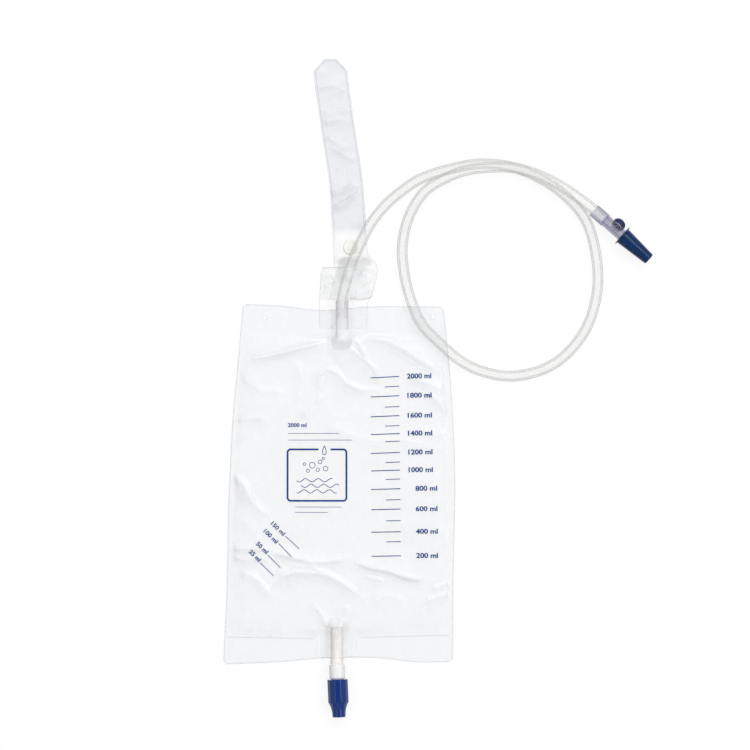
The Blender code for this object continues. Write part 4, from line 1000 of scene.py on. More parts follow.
class DrainageBagSizes(bpy.types.PropertyGroup):
    """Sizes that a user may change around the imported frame"""

    puff: size_setting("Pillow Height", "How high the empty pouch stands between its welds", PUFF, 0.006)
    crumple: size_setting("Crumple Height", "Height of the front film's crumples", CRUMPLE_HEIGHT, 0.006)
    rim_bead: size_setting("Rim Bead", "Radius of the bead along the bag's welded edge", 0.00042, 0.001)
    tube_bore: size_setting("Tube Bore", "Radius of the inlet tube's bore", TUBE_BORE, TUBE_RADIUS - 0.0005)
    scale_line: size_setting("Scale Line", "Width of the scale's long lines", 0.00075, 0.002)
    figure_height: size_setting("Figure Height", "Height of the right-hand scale's figures", 0.0047, 0.008)
    film_columns: bpy.props.IntProperty(
        name="Film Columns", description="Grid columns across the front film", default=230, min=40, max=260)
    film_rows: bpy.props.IntProperty(
        name="Film Rows", description="Grid rows up the front film", default=370, min=60, max=380)
    tube_rings: bpy.props.IntProperty(
        name="Tube Rings", description="Rings along the inlet tube", default=840, min=120, max=1000)
    lens: bpy.props.FloatProperty(
        name="Lens", description="Focal length of the camera", default=200.0, min=50.0, max=300.0,
        unit="CAMERA")


class DrainageBagColours(bpy.types.PropertyGroup):
    """Colours that a user may change"""

    film: colour_setting("Front Film", "Clear film of the bag's front", "FCFDFF")
    back_film: colour_setting("Back Film", "Clear film of the bag's back", "C8DDF6")
    strap: colour_setting("Strap", "Frosted film of the hanging strap", "E4E7ED")
    cover: colour_setting("Neck Cover", "Film that holds the inlet tube", "F8FAFC")
    port: colour_setting("Inlet Port", "Thin clear wall of the inlet port", "F2F0FA")
    connector: colour_setting("Connector", "Thin clear wall of the connector", "D5D7E4")
    tube: colour_setting("Inlet Tube", "Clear wall of the inlet tube", "F8F8F6")
    drain_tube: colour_setting("Drain Tube", "Soft tube between the pouch and the valve", "FFFBF6")
    collar: colour_setting("Valve Body", "Collar and neck of the outlet valve", "FBFBFC")
    button: colour_setting("Button", "Button on the strap", "FFFFF8")
    sleeve: colour_setting("Drain Sleeve", "Sliding grip of the outlet valve", "06337F")
    cap: colour_setting("Protective Cap", "Cap on the connector's cone", "002E60")
    septum: colour_setting("Septum", "Rubber of the sampling port", "082878")
    ink: colour_setting("Ink", "Printed scale and sign", "06408C")


# Pieces


class DRAINBAG_OT_tube(bpy.types.Operator):
    """The clear inlet tube, one free cord from the port to the connector"""

    bl_idname = "drainbag.tube"
    bl_label = "Inlet Tube"

    def execute(self, context):
        sizes = context.scene.bag_sizes
        mouth, direction, _ = connector_axes()
        start = [(PORT_X, PORT_TOP - PORT_INSERTION, PORT_AXIS_HEIGHT), (PORT_X, PORT_TOP, PORT_AXIS_HEIGHT)]
        end = [mouth + direction * along for along in (-LEAD_IN, 0.0, SOCKET_DEPTH - GAP)]
        line = smooth_points([*start, *ROUTE, *end], sizes.tube_rings)
        mesh = hollow_tube("clear_inlet_tube", line, TUBE_RADIUS, sizes.tube_bore)
        tube = add_piece("clear_inlet_tube", mesh, FINISHES["tube"])
        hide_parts("inlet_tube")
        return {"FINISHED"}


def outline_places(columns, rows):
    """Plan points around the bag's outline."""
    across, up = np.linspace(0, 1, columns, endpoint=False), np.linspace(0, 1, rows, endpoint=False)
    u = np.concatenate([across, np.ones(rows), 1 - across, np.zeros(rows)])
    v = np.concatenate([np.zeros(columns), up, np.ones(columns), 1 - up])
    return bag_place(u, v)


def film_marks(x, y):
    """Each place's distance from the bag's outline, and how steep the film is there."""
    share = bag_share(x, y)
    rim = np.minimum.reduce([x - left_side(y), right_side(y) - x, y - bottom_side(share),
                             top_side(share) - y])
    return {"rim": np.abs(rim), "slope": slope_of(slack_height, x, y) * clear_of_tube(x, y)}


class DRAINBAG_OT_films(bpy.types.Operator):
    """The front film with its creases, the back film and the welded rim"""

    bl_idname = "drainbag.films"
    bl_label = "Bag Films"

    def execute(self, context):
        sizes = context.scene.bag_sizes
        front = laid_sheet("creased_front_film", sizes.film_columns, sizes.film_rows, bag_place,
                           lambda x, y: front_height(x, y) + FILM_THICKNESS / 2, film_marks)
        back = laid_sheet("back_sheet", 60, 90, bag_place, lambda x, y: np.full(np.shape(x), BACK_LEVEL))
        for centre in CORNER_HOLES:
            open_hole(front, centre, CORNER_HOLE_RADIUS)
            open_hole(back, centre, CORNER_HOLE_RADIUS)
        front_piece = add_piece("creased_front_film", front, FINISHES["film"])
        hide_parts("front_film")
        back_piece = add_piece("back_sheet", back, FINISHES["back"])
        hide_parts("back_film")
        edges = [("welded_rim", *outline_places(70, 110), sizes.rim_bead)]
        turn = np.linspace(0, 2 * math.pi, 28, endpoint=False)
        for index, (x, y) in enumerate(CORNER_HOLES):
            edges.append((f"corner_hole_bead_{index}", x + CORNER_HOLE_RADIUS * np.cos(turn),
                          y + CORNER_HOLE_RADIUS * np.sin(turn), HOLE_BEAD))
        beads = [add_piece(name, bead(name, x, y, RIM_LEVEL, radius), FINISHES["rim"])
                 for name, x, y, radius in edges]
        return {"FINISHED"}


def leaf_middle(y):
    """The sleeve's leaves lean to the right as they go down."""
    return PORT_X + LEAF_DRIFT * ramp(LEAF_TOP - y - LEAF_OVERLAP, LEAF_LENGTH)


def leaf_place(u, v):
    y = LEAF_TOP - LEAF_LENGTH * (1 - v)
    return leaf_middle(y) + (u - 0.5) * LEAF_WIDTH, y


def front_leaf_height(x, y):
    """The front leaf's mid height: it comes off the port's rim and sinks to the back leaf."""
    fade = 1 - ramp(PORT_TOP - PORT_LENGTH - y, LEAF_FADE)
    radius = PORT_RADIUS + 1.3 * GAP
    lift = draped(x - PORT_X, PORT_AXIS_HEIGHT, radius, LEAF_REACH, FRONT_LEAF_HEIGHT) - FRONT_LEAF_HEIGHT
    return FRONT_LEAF_HEIGHT + lift * fade + LEAF_THICKNESS / 2


def back_leaf_height(x, y):
    return np.full(np.shape(x), WELD_HEIGHT + LEAF_THICKNESS / 2)


def leaf_marks(x, y):
    return {"rim": LEAF_WIDTH / 2 - np.abs(x - leaf_middle(y))}


class DRAINBAG_OT_valve_leaves(bpy.types.Operator):
    """The two thin leaves of the non-return sleeve below the inlet port"""

    bl_idname = "drainbag.valve_leaves"
    bl_label = "Non-return Leaves"

    def execute(self, context):
        for name, node, height in (("thin_back_leaf", "valve_back_leaf", back_leaf_height),
                                   ("thin_front_leaf", "valve_front_leaf", front_leaf_height)):
            mesh = laid_sheet(name, 24, 36, leaf_place, height, leaf_marks)
            leaf = add_piece(name, mesh, FINISHES["leaf"])
            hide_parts(node)
        return {"FINISHED"}


class DRAINBAG_OT_port(bpy.types.Operator):
    """The tinted inlet port, cut at a slant at its lower end"""

    bl_idname = "drainbag.port"
    bl_label = "Inlet Port"

    def execute(self, context):
        where = axis_frame((PORT_X, PORT_TOP, PORT_AXIS_HEIGHT), (1, 0, 0), (0, -1, 0))
        profile = ((PORT_RADIUS, 0.0), (PORT_RADIUS, PORT_LENGTH), (PORT_BORE, PORT_LENGTH), (PORT_BORE, 0.0))
        mesh = turned("tinted_port", profile, where, 56, 0.00015)
        x, y, z = vertex_places(mesh).T
        slanted_length = PORT_LENGTH - (PORT_RADIUS + x - PORT_X) * math.tan(PORT_SLANT)
        share = (PORT_TOP - y) / PORT_LENGTH
        set_places(mesh, x, np.where(share > 0.5, PORT_TOP - share * slanted_length, y), z)
        port = add_piece("tinted_port", mesh, FINISHES["violet"])
        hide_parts("inlet_port")
        return {"FINISHED"}


def strap_middle_half(y):
    tip = np.clip((STRAP_TOP - y) / STRAP_TIP_LENGTH, 0, 1)
    return follow(STRAP_LEAN, y), (STRAP_TIP_WIDTH + (STRAP_WIDTH - STRAP_TIP_WIDTH) * tip) / 2


def strap_sides(y):
    """The strap's left and right edges at one height up the bag."""
    middle, half = strap_middle_half(y)
    left = np.where(y < TAB_SHOULDER, np.interp(y, *zip(*TAB_LEFT)), middle - half)
    shoulder = np.clip((STRAP_LEAN[0][0] - y) / (STRAP_LEAN[0][0] - TAB_RIGHT[-1][0]), 0, 1)
    upper = middle + half + (TAB_RIGHT[-1][1] - middle - half) * shoulder
    return left, np.where(y < TAB_SHOULDER, np.interp(y, *zip(*TAB_RIGHT)), upper)


def button_lift(x, y):
    away = np.hypot(x - BUTTON_CENTRE[0], y - BUTTON_CENTRE[1])
    return (BUTTON_FLANGE_HEIGHT + GAP) * (1 - ramp(away - BUTTON_FLANGE_RADIUS - GAP, BUTTON_SPREAD))


def strap_base(x, y):
    start, end = TAB_RISE
    return np.maximum(WELD_HEIGHT * (1 - ramp(y - start, end - start)), button_lift(x, y) + ABOVE_TABLE)


def strap_height(x, y):
    """The strap's mid height, with creases where neither the bag nor the tube holds it down."""
    away, _ = beside([point[:2] for point in ((PORT_X, PORT_TOP), *ROUTE[:6])], x, y)
    free = ramp(np.abs(away) - 0.004, 0.012) * ramp(y - TAB_RISE[0], 0.01)
    slack = creased(STRAP_CREASES, x, y) + STRAP_RIPPLE_HEIGHT * (1 + ripple(x, y, *STRAP_RIPPLE))
    return strap_base(x, y) + STRAP_THICKNESS / 2 + slack * free


def strap_marks(x, y):
    """Distances from the strap's edge, the end of its second ply and the lines of painted shade at its folded
    foot, and its slope.
    """
    left, right = strap_sides(y)
    side = np.minimum(x - left, right - x)
    slant = (STRAP_WIDTH - STRAP_TIP_WIDTH) / 2 / STRAP_TIP_LENGTH
    tip = np.where(y > STRAP_TOP - STRAP_TIP_LENGTH, side / math.hypot(1, slant), side)
    rim = np.minimum(tip, STRAP_TOP - y)
    # Distance from the folded foot's lines, along which the shader paints a grey band of shade
    fold = np.minimum.reduce([np.abs(beside(in_metres(line), x, y)[0]) for line in FOOT_FOLD_SHADE_LINES])
    return {"rim": np.abs(rim), "ply": np.maximum(y - PLY_END, 0), "fold": fold,
            "slope": slope_of(strap_height, x, y)}


def strap_rows():
    """Heights of the strap's rows, with two at the shoulder and one at each of its corners."""
    step = 0.0008
    fixed = [TAB_SHOULDER - 0.00005, TAB_SHOULDER, STRAP_TOP - STRAP_TIP_LENGTH, STRAP_TOP, TAB_RIGHT[-1][0],
             STRAP_LEAN[0][0]]
    for slit in STRAP_SLITS:
        fixed += [slit - SLIT_LENGTH / 2, slit + SLIT_LENGTH / 2]
    rows = [row for row in np.arange(TAB_FOOT, STRAP_TOP, step)
            if min(abs(row - place) for place in fixed) > step / 3]
    return np.array(sorted(rows + fixed))


class DRAINBAG_OT_strap(bpy.types.Operator):
    """The hanging strap with its tab, its slits and its welded border"""

    bl_idname = "drainbag.strap"
    bl_label = "Hanging Strap"

    def execute(self, context):
        rows = strap_rows()

        def place(u, v):
            y = rows[np.round(v * (len(rows) - 1)).astype(int)]
            left, right = strap_sides(y)
            return left + (right - left) * u, y

        mesh = laid_sheet("frosted_strap", STRAP_COLUMNS, len(rows) - 1, place, strap_height, strap_marks)
        shape = bmesh.new()
        shape.from_mesh(mesh)
        for centre in STRAP_SLITS:
            self.open_slit(shape, centre)
        shape.to_mesh(mesh)
        shape.free()
        open_hole(mesh, BUTTON_CENTRE, BUTTON_STEM_RADIUS + GAP)
        strap = add_piece("frosted_strap", mesh, FINISHES["strap"])
        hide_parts("hanging_strap")
        level = lying_on("frosted_strap")
        add_lines("strap_border", [self.border()], 0.0008, level, "border")
        # A grey line of painted shade along the foot of the strap's sharpest fold
        add_lines("strap_fold_shade_line", [smooth_plan(STRAP_FOLD_SHADE, 20)], 0.0014, level, "rim")
        add_speck("strap_speck", (-0.0014, 0.2829, 0.0011), 0.00035)
        return {"FINISHED"}

    def border(self):
        """The line of the weld that joins the strap's two plies, just inside its edge."""
        rows = np.linspace(PLY_END, STRAP_TOP - STRAP_TIP_LENGTH, 40)
        middle, half = strap_middle_half(rows)
        right = list(zip(middle + half - BORDER_INSET, rows))
        left = list(zip(middle - half + BORDER_INSET, rows))
        tip_half = (STRAP_TIP_WIDTH - BORDER_INSET) / 2
        tip = STRAP_TOP - BORDER_INSET
        centre = STRAP_LEAN[-1][1]
        return [*right, (centre + tip_half, tip), (centre - tip_half, tip), *left[::-1]]

    def open_slit(self, shape, centre):
        """Splits the sheet along its middle column and parts the two lips."""
        low, high = centre - SLIT_LENGTH / 2 - 1e-5, centre + SLIT_LENGTH / 2 + 1e-5
        near_middle = 2e-4
        cut = []
        for edge in shape.edges:
            a, b = edge.verts[0].co, edge.verts[1].co
            if not (low < a.y < high and low < b.y < high) or abs(a.y - b.y) < 1e-4:
                continue
            middle, _ = strap_middle_half(np.array([a.y, b.y]))
            if abs(a.x - middle[0]) < near_middle and abs(b.x - middle[1]) < near_middle:
                cut.append(edge)
        bmesh.ops.split_edges(shape, edges=cut)
        for vertex in shape.verts:
            if not low < vertex.co.y < high or not vertex.is_boundary:
                continue
            middle = float(strap_middle_half(np.array([vertex.co.y]))[0][0])
            if abs(vertex.co.x - middle) > near_middle or not vertex.link_faces:
                continue
            faces = [face.calc_center_median().x for face in vertex.link_faces]
            part = 1 - ((vertex.co.y - centre) / (SLIT_LENGTH / 2)) ** 2
            vertex.co.x += math.copysign(SLIT_HALF_GAP * max(part, 0), sum(faces) / len(faces) - middle)


def tube_x(y):
    line = ((PORT_X, PORT_TOP),) + tuple(point[:2] for point in ROUTE[:3])
    return np.interp(y, [point[1] for point in line], [point[0] for point in line])


def cover_height(x, y):
    """The neck cover's mid height: over the tube, then down to the strap's tab, with its own creases."""
    floor = strap_base(x, y) + STRAP_THICKNESS + GAP
    beside_tube = np.abs(x - tube_x(y))
    over = draped(beside_tube, PORT_AXIS_HEIGHT + COVER_LIFT, TUBE_RADIUS + 4 * GAP, COVER_REACH, floor)
    slack = creased(COVER_CREASES, x, y) + COVER_RIPPLE_HEIGHT * (1 + ripple(x, y, *COVER_RIPPLE))
    free = ramp(beside_tube - 0.005, 0.004)
    return np.maximum(over, strap_height(x, y) + 2 * GAP) + FILM_THICKNESS / 2 + slack * free


def cover_place(u, v):
    """Places on the cover, whose foot sags and whose top edge waves."""
    y = COVER_FOOT + (COVER_TOP - COVER_FOOT) * v
    left, right = strap_sides(y)
    x = left + COVER_INSET + (right - left - 2 * COVER_INSET) * u
    return x, y - 0.0016 * np.sin(math.pi * u) * (1 - v) + 0.0008 * np.sin(5 * u) * v


def cover_marks(x, y):
    """Distance from the cover's edge, and the slope of its own creases."""
    left, right = strap_sides(y)
    rim = np.minimum.reduce([x - left - COVER_INSET, right - x - COVER_INSET, y - COVER_FOOT, COVER_TOP - y])
    return {"rim": np.abs(rim), "slope": slope_of(lambda a, b: creased(COVER_CREASES, a, b), x, y)}


class DRAINBAG_OT_cover(bpy.types.Operator):
    """The film that holds the inlet tube to the strap's tab"""

    bl_idname = "drainbag.cover"
    bl_label = "Neck Cover"

    def execute(self, context):
        mesh = laid_sheet("neck_cover_film", 110, 60, cover_place, cover_height, cover_marks)
        cover = add_piece("neck_cover_film", mesh, FINISHES["cover"])
        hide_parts("neck_cover")
        level = lying_on("neck_cover_film")
        # Painted shade along the cover's dark folds, and painted highlights along its light ones
        for name, folds, finish in (("cover_fold_shade_lines", COVER_FOLD_SHADE_LINES, "seam_and_fold_shade"),
                                    ("cover_fold_highlight_lines", COVER_FOLD_HIGHLIGHT_LINES, "weld")):
            smooth = [smooth_plan(fold, 24) for fold in folds]
            add_lines(name, smooth, FOLD_LINE_WIDTH, level, finish)
        return {"FINISHED"}


class DRAINBAG_OT_button(bpy.types.Operator):
    """The push-through button that the strap's slits fasten on"""

    bl_idname = "drainbag.button"
    bl_label = "Button"

    def execute(self, context):
        where = axis_frame((*BUTTON_CENTRE, ABOVE_TABLE), (1, 0, 0), (0, 0, 1))
        under = BUTTON_FLANGE_HEIGHT
        over = under + 2 * GAP + STRAP_THICKNESS
        crown = over + BUTTON_HEAD_HEIGHT
        profile = (
            (0.0, 0.0), (BUTTON_FLANGE_RADIUS, 0.0), (BUTTON_FLANGE_RADIUS, under),
            (BUTTON_STEM_RADIUS, under), (BUTTON_STEM_RADIUS, over), (BUTTON_RADIUS, over),
            (BUTTON_RADIUS, crown - 0.0008), (BUTTON_RADIUS - 0.0012, crown - 0.0001),
            (BUTTON_RADIUS - 0.0018, crown - 0.0004), (0.0020, crown - 0.0003), (0.0, crown - 0.0002),
        )
        mesh = turned("ivory_button", profile, where, 56, 0.0004)
        button = add_piece("ivory_button", mesh, FINISHES["button"])
        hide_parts("hang_button")
        return {"FINISHED"}


def outlet_direction():
    return Vector((math.sin(OUTLET_LEAN), -math.cos(OUTLET_LEAN), 0.0))


def outlet_point(along):
    return Vector((OUTLET_X, COLLAR_TOP, OUTLET_AXIS_HEIGHT)) + outlet_direction() * along


class DRAINBAG_OT_outlet(bpy.types.Operator):
    """The drain tube, the valve's collar and the blue sleeve that slides on it"""

    bl_idname = "drainbag.outlet"
    bl_label = "Outlet Valve"

    def execute(self, context):
        inside = [Vector((OUTLET_X, y, float(drain_axis_height(y))))
                  for y in np.linspace(DRAIN_INNER_END, COLLAR_TOP + 0.0005, 40)]
        line = inside + [outlet_point(along) for along in (0.0030, 0.0060, COLLAR_SOCKET_DEPTH - GAP)]
        mesh = hollow_tube("cream_drain_tube", line, DRAIN_RADIUS, DRAIN_RADIUS - DRAIN_WALL, 48)
        tube = add_piece("cream_drain_tube", mesh, FINISHES["cream"])
        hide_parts("drain_tube")
        where = axis_frame(outlet_point(0.0), (0, 0, 1), outlet_direction())
        mesh = turned("white_valve_body", self.valve_profile(), where, 72, 0.0004)
        body = add_piece("white_valve_body", mesh, FINISHES["collar"])
        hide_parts("valve_body")
        NODES["valve_seal_ring"].data.materials.clear()
        NODES["valve_seal_ring"].data.materials.append(FINISHES["rubber"])
        slide = axis_frame(outlet_point(GRIP_START), (0, 0, 1), outlet_direction())
        mesh = turned("blue_drain_sleeve", self.sleeve_profile(), slide, 96, 0.0005,
                      flats=(GRIP_SIDES, GRIP_FLATS / 2))
        sleeve = add_piece("blue_drain_sleeve", mesh, FINISHES["valve_blue"], "sleeve")
        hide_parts("drain_sleeve")
        return {"FINISHED"}

    def valve_profile(self):
        socket = DRAIN_RADIUS + GAP
        head = HEAD_RADIUS - 0.0002
        head_end = HEAD_STATION + 0.0035
        lantern_end = SHOULDER_STATION + (HEAD_RADIUS - LANTERN_RADIUS) / 2
        nose_end = NOSE_STATION + NOSE_LENGTH
        bore_end = SHOULDER_STATION - 0.0012
        return (
            (socket, 0.0), (COLLAR_RADIUS - 0.0004, 0.0), (COLLAR_RADIUS, 0.0005),
            (COLLAR_RADIUS, COLLAR_LENGTH - 0.0007), (COLLAR_RADIUS - 0.0006, COLLAR_LENGTH),
            (NECK_RADIUS, COLLAR_LENGTH), (NECK_RADIUS, GRIP_START - GAP), (SHAFT_RADIUS, GRIP_START - GAP),
            (SHAFT_RADIUS, HEAD_STATION), (head, HEAD_STATION), (head, head_end),
            (LANTERN_RADIUS, head_end + 0.0006), (LANTERN_RADIUS, lantern_end), (NOSE_RADIUS, NOSE_STATION),
            (NOSE_RADIUS, nose_end), (0.0, nose_end), (0.0, bore_end), (STEM_BORE, bore_end),
            (STEM_BORE, COLLAR_SOCKET_DEPTH), (socket, COLLAR_SOCKET_DEPTH),
        )

    def sleeve_profile(self):
        flat = GRIP_FLATS / 2
        corner = flat / math.cos(math.pi / GRIP_SIDES)
        end = GRIP_LENGTH + TAPER_LENGTH
        step_down = 0.0006
        waist = [(NOZZLE_RADIUS + (flat - NOZZLE_RADIUS) * (1 - t) ** 2.4,
                  GRIP_LENGTH + step_down + (TAPER_LENGTH - step_down) * t) for t in np.linspace(0, 1, 15)]
        lip = SHAFT_RADIUS + GAP
        chamber = HEAD_RADIUS + GAP
        throat = NOSE_RADIUS + GAP
        cone = SHOULDER_STATION - GRIP_START + 1.2 * GAP
        nose_end = NOSE_STATION + NOSE_LENGTH - GRIP_START + 0.001
        return [
            (lip, 0.0), (corner - 0.0004, 0.0), (corner, 0.0004), (corner, GRIP_LENGTH), *waist,
            (NOZZLE_BORE, end), (NOZZLE_BORE - 0.0002, nose_end), (throat, nose_end - 0.0004),
            (throat, cone + (chamber - throat) / 2), (chamber, cone), (chamber, LIP_LENGTH),
            (lip, LIP_LENGTH),
        ]


def connector_axes():
    """The connector's mouth, its direction, and the direction of its sampling port."""
    direction = Vector((math.cos(CONNECTOR_HEADING), math.sin(CONNECTOR_HEADING), 0.0))
    across = Vector((-direction.y, direction.x, 0.0))
    sample = across * math.cos(SAMPLE_DIP) - Vector((0.0, 0.0, math.sin(SAMPLE_DIP)))
    return Vector((*CONNECTOR_MOUTH, CONNECTOR_AXIS_HEIGHT)), direction, sample


class DRAINBAG_OT_connector(bpy.types.Operator):
    """The tinted connector with its sampling port, the septum and the protective cap"""

    bl_idname = "drainbag.connector"
    bl_label = "Connector End"

    def execute(self, context):
        mouth, direction, sample = connector_axes()
        where = axis_frame(mouth, sample, direction)
        side = axis_frame(mouth + direction * SAMPLE_STATION, -direction, sample)
        mesh = self.body_mesh(where, side)
        body = add_piece("connector_body", mesh, FINISHES["connector"])
        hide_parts("catheter_connector")
        mesh = turned("sampling_septum", self.septum_profile(), side, 56, 0.0004)
        septum = add_piece("sampling_septum", mesh, FINISHES["septum"])
        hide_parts("sample_septum")
        # Painted highlights: two opaque pale wire rings at the boss's steps
        highlight_rings = bmesh.new()
        wire = 0.0004
        for radius, along in ((BOSS_RADIUS - 0.0010, 0.0036), (BOSS_BORE - 0.0014, 0.0032)):
            round_wire = [(radius + wire * math.cos(turn), along + wire * math.sin(turn))
                          for turn in np.linspace(0, 2 * math.pi, 6, endpoint=False)]
            highlight_rings.from_mesh(turned("port_highlight_ring", round_wire, side, 40, 0.0))
        mesh = finish_mesh(highlight_rings, "sampling_port_highlight_rings")
        add_piece("sampling_port_highlight_rings", mesh, FINISHES["port_highlight_ring"])
        slide = axis_frame(mouth + direction * (CAP_STATION + GAP), sample, direction)
        mesh = turned("cone_cap", self.cap_profile(), slide, 96, 0.0003)
        cap = add_piece("cone_cap", mesh, FINISHES["cap_blue"], "cap")
        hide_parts("protective_cap")
        return {"FINISHED"}

    def septum_profile(self):
        plug = BOSS_BORE - GAP
        start = SEPTUM_FOOT - 0.0022
        top = SEPTUM_FOOT + SEPTUM_HEIGHT
        return (
            (0.0, start), (plug, start), (plug, SEPTUM_FOOT), (SEPTUM_RADIUS, SEPTUM_FOOT),
            (SEPTUM_RADIUS, top), (SEPTUM_RADIUS / 2, top + SEPTUM_DOME), (0.0, top + SEPTUM_DOME),
        )

    def body_mesh(self, where, side):
        """The turned body with the boss of the sampling port joined to its side."""
        stop = 0.0063
        cone_start = CAP_STATION + CONE_FOOT
        cone_end = CAP_STATION + CONE_LENGTH
        profile = [
            (PORT_BORE, 0.0), (SOCKET_RADIUS, 0.0), (SOCKET_RADIUS, SOCKET_LENGTH),
            (BODY_RADIUS, SOCKET_LENGTH), (BODY_RADIUS, CAP_STATION + 0.0007), (stop, CAP_STATION + 0.0009),
            (stop, cone_start), (CONE_BASE_RADIUS, cone_start),
        ]
        for rib in (1, 2, 3):
            place = cone_start + rib * (CONE_LENGTH - CONE_FOOT) / 4
            radius = CONE_BASE_RADIUS + (CONE_TIP_RADIUS - CONE_BASE_RADIUS) * rib / 4
            profile += [(radius, place - 0.0002), (radius + 0.0004, place), (radius, place + 0.0020)]
        profile += [(CONE_TIP_RADIUS, cone_end), (FLOW_BORE, cone_end), (FLOW_BORE, SOCKET_DEPTH),
                    (PORT_BORE, SOCKET_DEPTH)]
        flange = BOSS_REACH - 0.0008
        boss = (
            (BOSS_BORE, BODY_RADIUS - 0.0012), (BOSS_RADIUS, BODY_RADIUS - 0.0030), (BOSS_RADIUS, flange),
            (BOSS_FLANGE_RADIUS, flange), (BOSS_FLANGE_RADIUS, BOSS_REACH), (BOSS_BORE, BOSS_REACH),
        )
        shape = bmesh.new()
        shape.from_mesh(turned("connector_main", profile, where, 64, 0.00015))
        shape.from_mesh(turned("connector_boss", boss, side, 56, 0.00015))
        return finish_mesh(shape, "connector_body", TURNED_SHARP, normals=False)

    def cap_profile(self):
        end = CAP_LENGTH - GAP
        taper = end - CAP_TIP_ROUND - CAP_BRIM_HEIGHT
        inner_tip = CAP_TIP_RADIUS - CAP_WALL
        inner_end = end - 1.5 * CAP_WALL
        profile = [(CAP_MOUTH_RADIUS - CAP_WALL, 0.0), (CAP_BRIM_RADIUS, 0.0),
                   (CAP_BRIM_RADIUS, CAP_BRIM_HEIGHT), (CAP_MOUTH_RADIUS, CAP_BRIM_HEIGHT + 0.0002)]
        # Rings along the taper keep its highlight straight
        for share in np.linspace(0.05, 0.95, 19):
            profile.append((CAP_MOUTH_RADIUS + (CAP_TIP_RADIUS - CAP_MOUTH_RADIUS) * share,
                            CAP_BRIM_HEIGHT + taper * share))
        for angle in np.linspace(0, math.pi / 2, 7):
            profile.append((CAP_TIP_RADIUS - CAP_TIP_ROUND * (1 - math.cos(angle)),
                            end - CAP_TIP_ROUND * (1 - math.sin(angle))))
        return profile + [(0.0, end), (0.0, inner_end), (inner_tip, inner_end)]


# The printed scale and sign. Places are in millimetres, widths and heights of strokes and figures in metres.
# The right-hand scale: number and height of each long line's right end, then heights of the short ones
LONG_LINES = ((2000, 96.8), (1800, 79.5), (1600, 61.6), (1400, 45.5), (1200, 28.5), (1000, 12.6), (800, -4.1),
              (600, -22.4), (400, -42.8), (200, -64.5))
SHORT_LINES = (88.0, 69.8, 52.7, 38.7, 19.9, 4.6, -13.9, -32.8, -51.7)
SHORT_LENGTH = 13.0
# What changes evenly down that scale: its value at the top line, and its gain by the bottom one
LINE_LEFT = (28.4, 1.0)
LINE_RIGHT = (54.0, 1.8)
LONG_LEAN = (1.3, -0.9)
SHORT_LEAN = (0.7, -0.5)
FIGURE_TURN = (1.2, -1.0)
# Where figures of four and of three digits start, and how wide they are
FOUR_DIGITS = ((61.2, 2.7), 0.0218)
THREE_DIGITS = ((67.5, 2.0), 0.0196)
# The corner scale: number, middle left of its figures, and the ends of its line
CORNER_LINES = ((150, (-60.3, -34.6), (-48.1, -46.8), (-35.9, -58.1)),
                (100, (-66.8, -41.5), (-54.3, -53.3), (-42.8, -65.0)),
                (50, (-73.5, -52.8), (-63.9, -63.8), (-52.7, -75.3)),
                (25, (-80.0, -59.9), (-70.7, -70.9), (-58.9, -82.4)))
CORNER_TURN = -44
# Plain rules to write on, above and below the sign: left end, right end, height
WRITE_ON_RULES = ((-45.9, 0.0, 45.6), (-45.9, 11.5, 39.6), (-39.5, 2.5, -20.6), (-39.5, -10.0, -25.4))
# The sign: its frame's left, right, foot and top, the ends of the opening in its top, and what lies inside
SIGN_FRAME = (-46.2, 6.7, -15.0, 31.2)
SIGN_OPENING = (-18.4, -7.6)
SIGN_ROUND = 2.8
DROP_MIDDLE = (-13.1, 30.4)
WAVE_ENDS = ((-38, -2), (-34, 0), (-38, -6))
BUBBLES = ((-24, 17, 2.6), (-17, 20, 1.7), (-19, 13, 1.5), (-28, 12, 1.4), (-12, 14, 2.1), (-14, 23, 1.1),
           (-31, 18, 1.2))


def down_scale(y, value, gain):
    """A measure of the right-hand scale at one height."""
    top, foot = LONG_LINES[0][1], LONG_LINES[-1][1]
    return value + gain * (top - y) / (top - foot)


